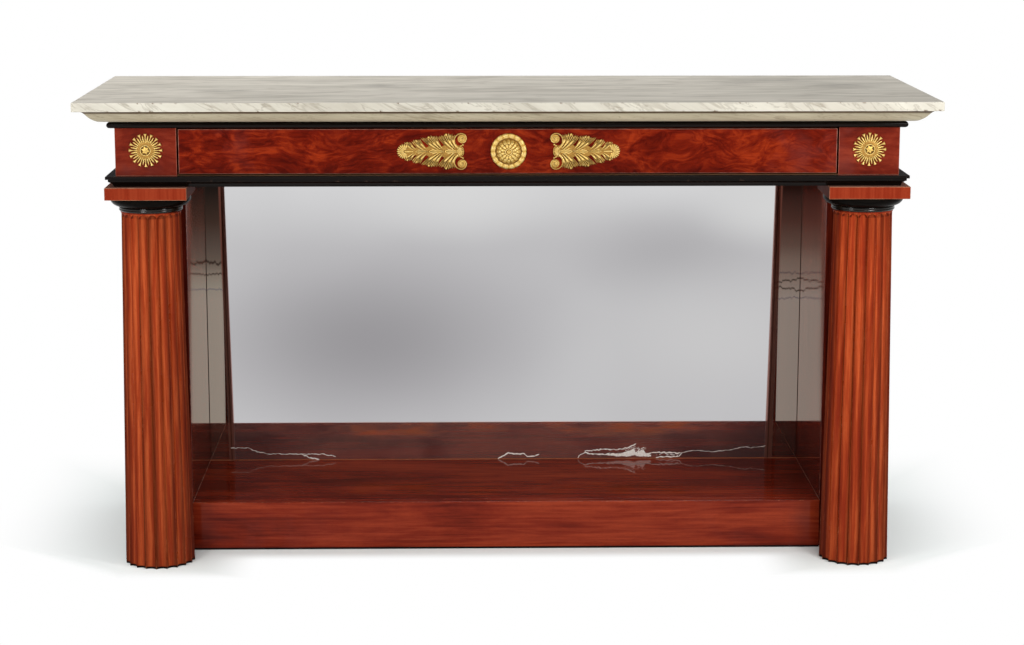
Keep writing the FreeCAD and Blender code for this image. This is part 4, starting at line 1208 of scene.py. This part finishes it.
def palmette(side_name, side):
    """Palmette on its side: scrolls and a shell by the knob, four pairs of leaves, a round tip."""
    bm = bmesh.new()
    mask_layer(bm, "relief")
    for edge in (1, -1):
        scroll(bm, edge)
        for parts in LEAVES:
            leaf(bm, edge, *parts)
    plate(bm, [*PALMETTE_GROUND, *[(u, -v) for u, v in PALMETTE_GROUND[::-1]]], 1.2)
    palmette_shell(bm)
    palmette_stem(bm)
    palmette_tip(bm)
    set_on_face(bm, (81.5 * side, DRAWER_FACE, DRAWER_MIDDLE), 5.5, side)
    finished("gilt_palmette_" + side_name, bm, "gilt_bronze", ["palmette_" + side_name], crease=50.0)


def rosette(side_name, side):
    """Sunburst: flared rays and pointed darts round a dished hub with a six-pointed star."""
    bm = bmesh.new()
    relief = mask_layer(bm, "relief")
    rays = 16
    flared = [(13.0, 1.6), (20.0, 1.6), (24.5, 1.4), (27.0, 1.4), (29.5, 1.5), (31.6, 1.7), (32.5, 1.4)]
    dart = [(13.0, 1.2), (20.0, 1.2), (24.0, 1.0), (27.0, 1.0), (29.4, 0.8)]
    for i in range(rays):
        angle = math.tau * i / rays
        rib(bm, polar_spine(angle, flared), [2.0, 1.5, 1.1, 1.3, 2.3, 3.4, 3.5],
            [3.2, 2.6, 2.0, 2.0, 2.2, 2.4, 1.4])
        rib(bm, polar_spine(angle + math.pi / rays, dart), [2.2, 1.8, 1.6, 1.25, 0.3],
            [3.0, 2.6, 2.2, 1.8, 0.6])
    turned_ground(bm, [(0.1, 0.4), (8.4, 0.4), (8.6, 4.4), (9.3, 5.8), (10.2, 6.0), (10.9, 5.2), (11.3, 4.6),
                       (12.6, 4.9), (15.0, 4.6), (17.6, 3.4), (19.4, 1.6), (19.6, 0.0), (0.1, 0.0)])
    ring_of(bm, (0.0, 0.0), 9.9, 0.9, 1.0, 5.4)
    star = [polar(8.9 if i % 2 else 5.0, math.tau * (i + 0.5) / 12) for i in range(12)]
    made = loft(bm, [[(*point, w) for point in star] for w in (0.4, 4.2)], caps=False)
    peak = bm.verts.new((0.0, 0.0, 6.2))
    peak[relief] = 1.0
    for i in range(12):
        made[1][i][relief] = 0.5
        bm.faces.new((made[1][i], made[1][(i + 1) % 12], peak))
    dome(bm, (0.0, 0.0), (2.2, 2.2), 1.2, 5.4, 16, 4)
    set_on_face(bm, (COLUMN_X * side, BLOCK_FACE, BLOCK_MIDDLE), 7.0)
    finished("gilt_rosette_" + side_name, bm, "gilt_bronze", ["rosette_" + side_name], crease=45.0)


KNOB_GROUND = ((34.6, 0.0), (34.6, 1.4), (33.4, 2.6), (30.6, 3.4), (27.6, 3.2), (26.0, 2.4), (25.4, 1.3),
               (24.2, 1.3), (23.6, 3.4), (21.0, 7.2), (18.0, 9.7), (14.6, 11.4), (11.0, 12.4), (8.0, 12.9),
               (7.4, 13.4), (0.1, 13.6))
# Rings of petals: how many, their turn in petals, and the spine, widths and heights of each.
PETALS = (
    (16, 0.0, ((15.4, 10.8), (17.6, 9.8), (19.8, 8.2), (21.8, 5.9), (23.4, 3.2)),
     (2.9, 3.5, 3.9, 3.7, 1.8), (0.8, 1.4, 1.5, 1.5, 0.8)),
    (12, 0.5, ((8.2, 12.8), (10.0, 12.7), (12.0, 12.4), (14.0, 11.9), (16.2, 10.8)),
     (2.0, 2.6, 3.1, 3.3, 1.8), (0.9, 1.5, 1.8, 1.7, 0.9)),
)


def knob_rim(bm):
    """Lobes round the knob, each with three fine ribs, and beads between them."""
    for i in range(16):
        angle = math.tau * (i + 0.5) / 16
        rib(bm, polar_spine(angle, [(26.0, 2.2), (28.6, 2.9), (31.4, 2.9), (33.6, 2.0), (34.9, 0.6)]),
            [6.0, 6.6, 7.2, 6.9, 4.4], [0.7, 1.2, 1.3, 1.3, 0.8], 8)
        for lean in (-0.11, 0.0, 0.11):
            rib(bm, polar_spine(angle + lean, [(27.0, 3.2), (29.6, 3.7), (32.6, 3.2)]), [0.8, 1.3, 0.8],
                [0.6, 0.9, 0.6])
        dome(bm, polar(27.4, math.tau * i / 16), (1.1, 1.1), 1.6, 2.6, 12, 4)


def knob():
    """Patera knob: lobed rim, dark groove, and a domed flower of two petal rings."""
    bm = bmesh.new()
    mask_layer(bm, "relief")
    turned_ground(bm, KNOB_GROUND, 128)
    knob_rim(bm)
    for petals, turn, stations, widths, heights in PETALS:
        for i in range(petals):
            angle = math.tau * (i + turn) / petals
            rib(bm, polar_spine(angle, stations), widths, heights, 8)
            rib(bm, polar_spine(angle, [(r, w + 1.2) for r, w in stations[1:4]]), [0.5, 0.9, 0.6],
                [0.4, 0.7, 0.4])
    ring_of(bm, (0.0, 0.0), 6.2, 1.2, 1.2, 13.4, 40)
    dome(bm, (0.0, 0.0), (4.2, 4.2), 1.8, 13.5, 24, 5)
    dome(bm, (0.0, 0.0), (1.6, 1.6), 1.4, 15.0, 16, 4)
    set_on_face(bm, (0.0, DRAWER_FACE, DRAWER_MIDDLE), 17.0)
    stem = bmesh.ops.create_cone(bm, cap_ends=True, segments=40, radius1=4.0 * MM, radius2=4.0 * MM,
                                 depth=31.0 * MM)["verts"]
    bmesh.ops.rotate(bm, verts=stem, cent=(0.0, 0.0, 0.0), matrix=Matrix.Rotation(math.pi / 2, 3, "X"))
    bmesh.ops.translate(bm, verts=stem, vec=Vector((0.0, -208.5, DRAWER_MIDDLE)) * MM)
    finished("gilt_knob", bm, "gilt_bronze", ["knob"], crease=45.0)


# ==== Mirror and platform ====

GLASS_FACE, GLASS_FOOT = 257.38, 101.0
PLATFORM_TOP = 100.0
# Cracks at the foot of the glass: (x, z) corners, then thickness and wander.
CRACKS = (
    ((-600, 127), (-563, 128), (-543, 119), (-517, 114), (-398, 113), (-370, 107), 0.8, 1.6),
    ((-445, 113), (-425, 104), (-406, 101), 1.3, 2.0),
    ((-13, 101), (9, 114), (25, 111), (44, 112), (51, 105), (64, 106), (78, 111), 1.3, 1.3),
    ((163, 101), (166, 109), (178, 114), (214, 109), (245, 110), (269, 106), (288, 113), (301, 117),
     (311, 109), (335, 114), (390, 112), 1.5, 2.4),
    ((178, 117), (205, 120), (232, 121), (260, 121), (278, 127), (291, 134), 1.3, 2.2),
    ((335, 102), (350, 104), (386, 104), (392, 112), 1.5, 1.5),
    ((390, 112), (420, 118), (459, 115), (500, 119), (532, 126), (545, 123), (577, 128), 0.7, 1.6),
)
# Patch of lifted silver: (x, lower edge, upper edge).
LIFTED = ((228, 108, 110), (240, 107, 112), (250, 105, 111), (262, 106, 114), (270, 104, 115),
          (278, 106, 119), (286, 108, 123), (290, 107, 114), (296, 105, 114), (301, 104, 118),
          (307, 105, 121), (312, 104, 111), (326, 105, 108))


def crack(bm, rng, points, thick, wander):
    """A flaked line that wanders between its corners."""
    corners = [Vector(point) for point in points]
    spine, widths = [], []
    for a, b in zip(corners, corners[1:]):
        parts = max(2, int((b - a).length / 3.5))
        for k in range(parts):
            place = a.lerp(b, k / parts)
            spine.append((place.x, max(GLASS_FOOT, place.y + rng.uniform(-1, 1) * wander * 0.7), 0.0))
            widths.append(thick * rng.uniform(0.35, 1.25))
    spine.append((corners[-1].x, corners[-1].y, 0.0))
    rib(bm, spine, widths + [0.3], [0.12] * len(spine), 2)


def lifted_patch(bm, rng):
    """A thin patch with ragged edges."""
    edges = []
    for (x0, low0, high0), (x1, low1, high1) in zip(LIFTED, LIFTED[1:]):
        parts = max(2, int((x1 - x0) / 1.6))
        for k in range(parts):
            share = k / parts
            low = low0 + (low1 - low0) * share + rng.uniform(-0.9, 0.9)
            high = high0 + (high1 - high0) * share + rng.uniform(-1.3, 1.3)
            edges.append((x0 + (x1 - x0) * share, low, max(high, low + 0.5)))
    ring = [(x, high) for x, low, high in edges] + [(x, low) for x, low, high in reversed(edges)]
    front = [bm.verts.new((x, z, 0.14)) for x, z in ring]
    back = [bm.verts.new((x, z, 0.0)) for x, z in ring]
    for k in range(len(edges) - 1):
        bm.faces.new((front[k], front[k + 1], front[-k - 2], front[-k - 1]))
        bm.faces.new((back[k + 1], back[k], back[-k - 1], back[-k - 2]))
    for k in range(len(ring)):
        after = (k + 1) % len(ring)
        bm.faces.new((front[after], front[k], back[k], back[after]))


def cracks():
    """Lines, a patch and crumbs of flaked silvering along the foot of the plate."""
    rng = random.Random(5)
    bm = bmesh.new()
    for *points, thick, wander in CRACKS:
        crack(bm, rng, points, thick, wander)
    lifted_patch(bm, rng)
    for _ in range(46):
        x, z = rng.gauss(292, 13), rng.triangular(116, 128, 121)
        size = rng.uniform(0.5, 1.7)
        rise = rng.uniform(-1.6, 1.6)
        spine = [(x - size * 1.6, z - rise, 0.0), (x, z + rng.uniform(-0.6, 0.6), 0.0),
                 (x + size * 1.6, z + rise, 0.0)]
        rib(bm, spine, [0.15, size * 0.34, 0.15], [0.1] * 3, 2)
    for _ in range(40):
        x, z = rng.uniform(200, 385), rng.gauss(109, 2.2)
        size = rng.uniform(0.5, 2.4)
        rise = rng.uniform(-0.9, 0.9)
        spine = [(x - size * 1.6, max(102.0, z - rise), 0.0), (x + size * 1.6, max(102.0, z + rise), 0.0)]
        rib(bm, spine, [size * 0.3, 0.15], [0.1] * 2, 2)
    set_on_face(bm, (0.0, GLASS_FACE, 0.0), 1.0)
    finished("mirror_flaking", bm, "lifted_silver", [], body="carcass")


def dusty_joints():
    """Dust along the joints and the front arris of the platform top."""
    rng = random.Random(9)
    bm = bmesh.new()
    lines = (((-644.6, 256), (-644.6, -99), 0.8), ((644.6, 256), (644.6, -99), 0.8),
             ((-640, -96), (640, -96), 0.5), ((-640, 254.5), (640, 254.5), 0.9))
    for (x0, y0), (x1, y1), thick in lines:
        count = max(4, int(math.hypot(x1 - x0, y1 - y0) / 24))
        spine = [(x0 + (x1 - x0) * k / count, y0 + (y1 - y0) * k / count, 0.0) for k in range(count + 1)]
        rib(bm, spine, [thick * rng.uniform(0.3, 1.0) for _ in spine], [0.1] * len(spine), 2)
    for vert in bm.verts:
        u, v, w = vert.co
        vert.co = Vector((u, v, PLATFORM_TOP + w)) * MM
    finished("platform_dust", bm, "settled_dust", [], body="carcass")


# ==== The table ====

def dress_the_rest():
    """Gives every node that is still shown its finish; pine runs along the board's length."""
    for node_name, item in frame["nodes"].items():
        if not item.hide_render:
            finish = SLOT_OF[node_name]
            if finish == "pine":
                spans = list(item.dimensions)
                finish = ("pine", "deep_pine", "upright_pine")[spans.index(max(spans))]
            item.data.materials.clear()
            item.data.materials.append(FINISH[finish])


slab()
moulding("upper_moulding", bead_section())
moulding("lower_moulding", cornice_section())
board("drawer_front", "flame_mahogany", 1.2)
board("platform_front", "platform_mahogany", 1.4)
board("platform_top", "platform_mahogany", 0.5)
board("mirror_plate", "mirror", 0.6)
for side_name, side_sign in SIDES:
    board("corner_block_" + side_name, "frieze_mahogany", 0.9)
    board("frieze_side_" + side_name, "frieze_mahogany", 0.5)
    board("abacus_" + side_name, "abacus_mahogany", 1.0)
    board("pilaster_" + side_name, "panel_mahogany", 0.9)
    board("side_inner_panel_" + side_name, "panel_mahogany", 0.4)
    board("side_outer_panel_" + side_name, "panel_mahogany", 0.5)
    shaft(side_name, side_sign)
    collar(side_name, side_sign)
    capital(side_name, side_sign)
    rosette(side_name, side_sign)
    palmette(side_name, side_sign)
knob()
cracks()
dusty_joints()
dress_the_rest()


# ==== Floor, light and camera ====

def sky_place(azimuth, elevation):
    """Unit vector towards a place in the studio; azimuth 0 is straight in front of the table."""
    turn, rise = math.radians(azimuth), math.radians(elevation)
    return Vector((math.sin(turn) * math.cos(rise), -math.cos(turn) * math.cos(rise), math.sin(rise)))


def lamp(name, kind, place, energy, aim=(0.0, 0.0, 0.5), **settings):
    """A lamp at a place in the studio, turned towards its aim."""
    light = bpy.data.lights.new(name, kind)
    light.energy = energy
    for key, value in settings.items():
        setattr(light, key, value)
    holder = bpy.data.objects.new(name, light)
    holder.location = place
    holder.rotation_mode = "QUATERNION"
    holder.rotation_quaternion = (Vector(place) - Vector(aim)).to_track_quat("Z", "Y")
    bpy.context.scene.collection.objects.link(holder)


def floor_paper():
    """Pale paper that runs out to white where no shadow of the table falls."""
    material, shader, where = new_material("floor_paper")
    tree = material.node_tree
    fibre = noise_of(where, 3.0, 2.0)
    set_shader(shader, Base_Color=mixed(fibre, (226, 231, 229), (232, 237, 235)),
               Roughness=0.9, Specular_IOR_Level=0.0)
    axes = axes_of(where)
    aside = size_of(axes["X"])
    before = times(axes["Y"], -1.0)
    between = times(ranged(before, 0.12, 0.18), ranged(aside, 0.62, 0.50))
    beyond = larger(minus(aside, 0.774), 0.0)
    in_front = ranged(plus(before, times(beyond, 0.9)), 0.240, 0.31)
    at_ends = ranged(aside, 0.80, 1.10)
    behind = ranged(axes["Y"], 0.30, 0.75)
    away = larger(larger(between, in_front), larger(at_ends, behind))
    path = node(tree, "LightPath").outputs
    seen = larger(path["Is Camera Ray"],
                  larger(path["Is Glossy Ray"], path["Is Transmission Ray"]))
    white = node(tree, "Emission", {"Color": (1.0, 1.0, 1.0, 1.0), "Strength": 1.0}).outputs[0]
    joined = node(tree, "MixShader", {0: times(seen, away), 1: shader.outputs[0], 2: white})
    feed(tree.nodes["Material Output"].inputs["Surface"], joined.outputs[0])
    return material


def floor():
    """Wide flat floor under the table."""
    bm = bmesh.new()
    bmesh.ops.create_grid(bm, x_segments=8, y_segments=8, size=60.0)
    mesh = bpy.data.meshes.new("studio_floor")
    bm.to_mesh(mesh)
    bm.free()
    mesh.materials.append(floor_paper())
    paper = bpy.data.objects.new("studio_floor", mesh)
    bpy.context.scene.collection.objects.link(paper)


def room():
    """Dim room that is paler overhead."""
    world = bpy.data.worlds.new("studio_room")
    bpy.context.scene.world = world
    world.use_nodes = True
    tree = world.node_tree
    up = axes_of(node(tree, "TexCoord").outputs["Generated"])["Z"]
    tone = ramp(ranged(up, 0.0, 1.0), [(0.0, (52, 52, 54)), (0.3, (96, 96, 98)),
                                                  (1.0, (200, 200, 202))])
    feed(tree.nodes["Background"].inputs["Color"], tone)


def lights():
    """A softbox before each column, a weak fill from the front and a broad ceiling."""
    lamp("left_softbox", "AREA", (-1.291, -1.757, 1.24), 13.3, shape="RECTANGLE", size=0.5, size_y=0.45)
    lamp("right_softbox", "AREA", (1.204, -1.414, 1.24), 12.1, shape="RECTANGLE", size=0.4, size_y=0.45)
    lamp("front_fill", "SUN", sky_place(4, 34) * 8.0, 0.45, angle=math.radians(14))
    lamp("ceiling", "SUN", sky_place(0, 84) * 8.0, 1.85, angle=math.radians(50))


def camera():
    """Camera in front of the table, a little to the left of it and looking slightly down."""
    yaw, pitch, roll = 0.02139, -0.1893, 0.00095
    ahead = Vector((math.sin(yaw), math.cos(yaw), 0.0))
    right = Vector((math.cos(yaw), -math.sin(yaw), 0.0))
    up = Vector((0.0, 0.0, 1.0))
    look = ahead * math.cos(pitch) + up * math.sin(pitch)
    head = up * math.cos(pitch) - ahead * math.sin(pitch)
    x_axis = right * math.cos(roll) + head * math.sin(roll)
    y_axis = head * math.cos(roll) - right * math.sin(roll)
    lens = bpy.data.cameras.new("photographer")
    lens.sensor_width = 36.0
    lens.lens = 83.8
    lens.clip_end = 200.0
    holder = bpy.data.objects.new("photographer", lens)
    basis = Matrix((x_axis, y_axis, -look)).transposed()
    holder.matrix_world = Matrix.Translation(Vector((-91.9, -4844.5, 1384.0)) * MM) @ basis.to_4x4()
    bpy.context.scene.collection.objects.link(holder)
    bpy.context.scene.camera = holder


floor()
room()
lights()
camera()
bpy.context.scene.view_settings.view_transform = "Standard"
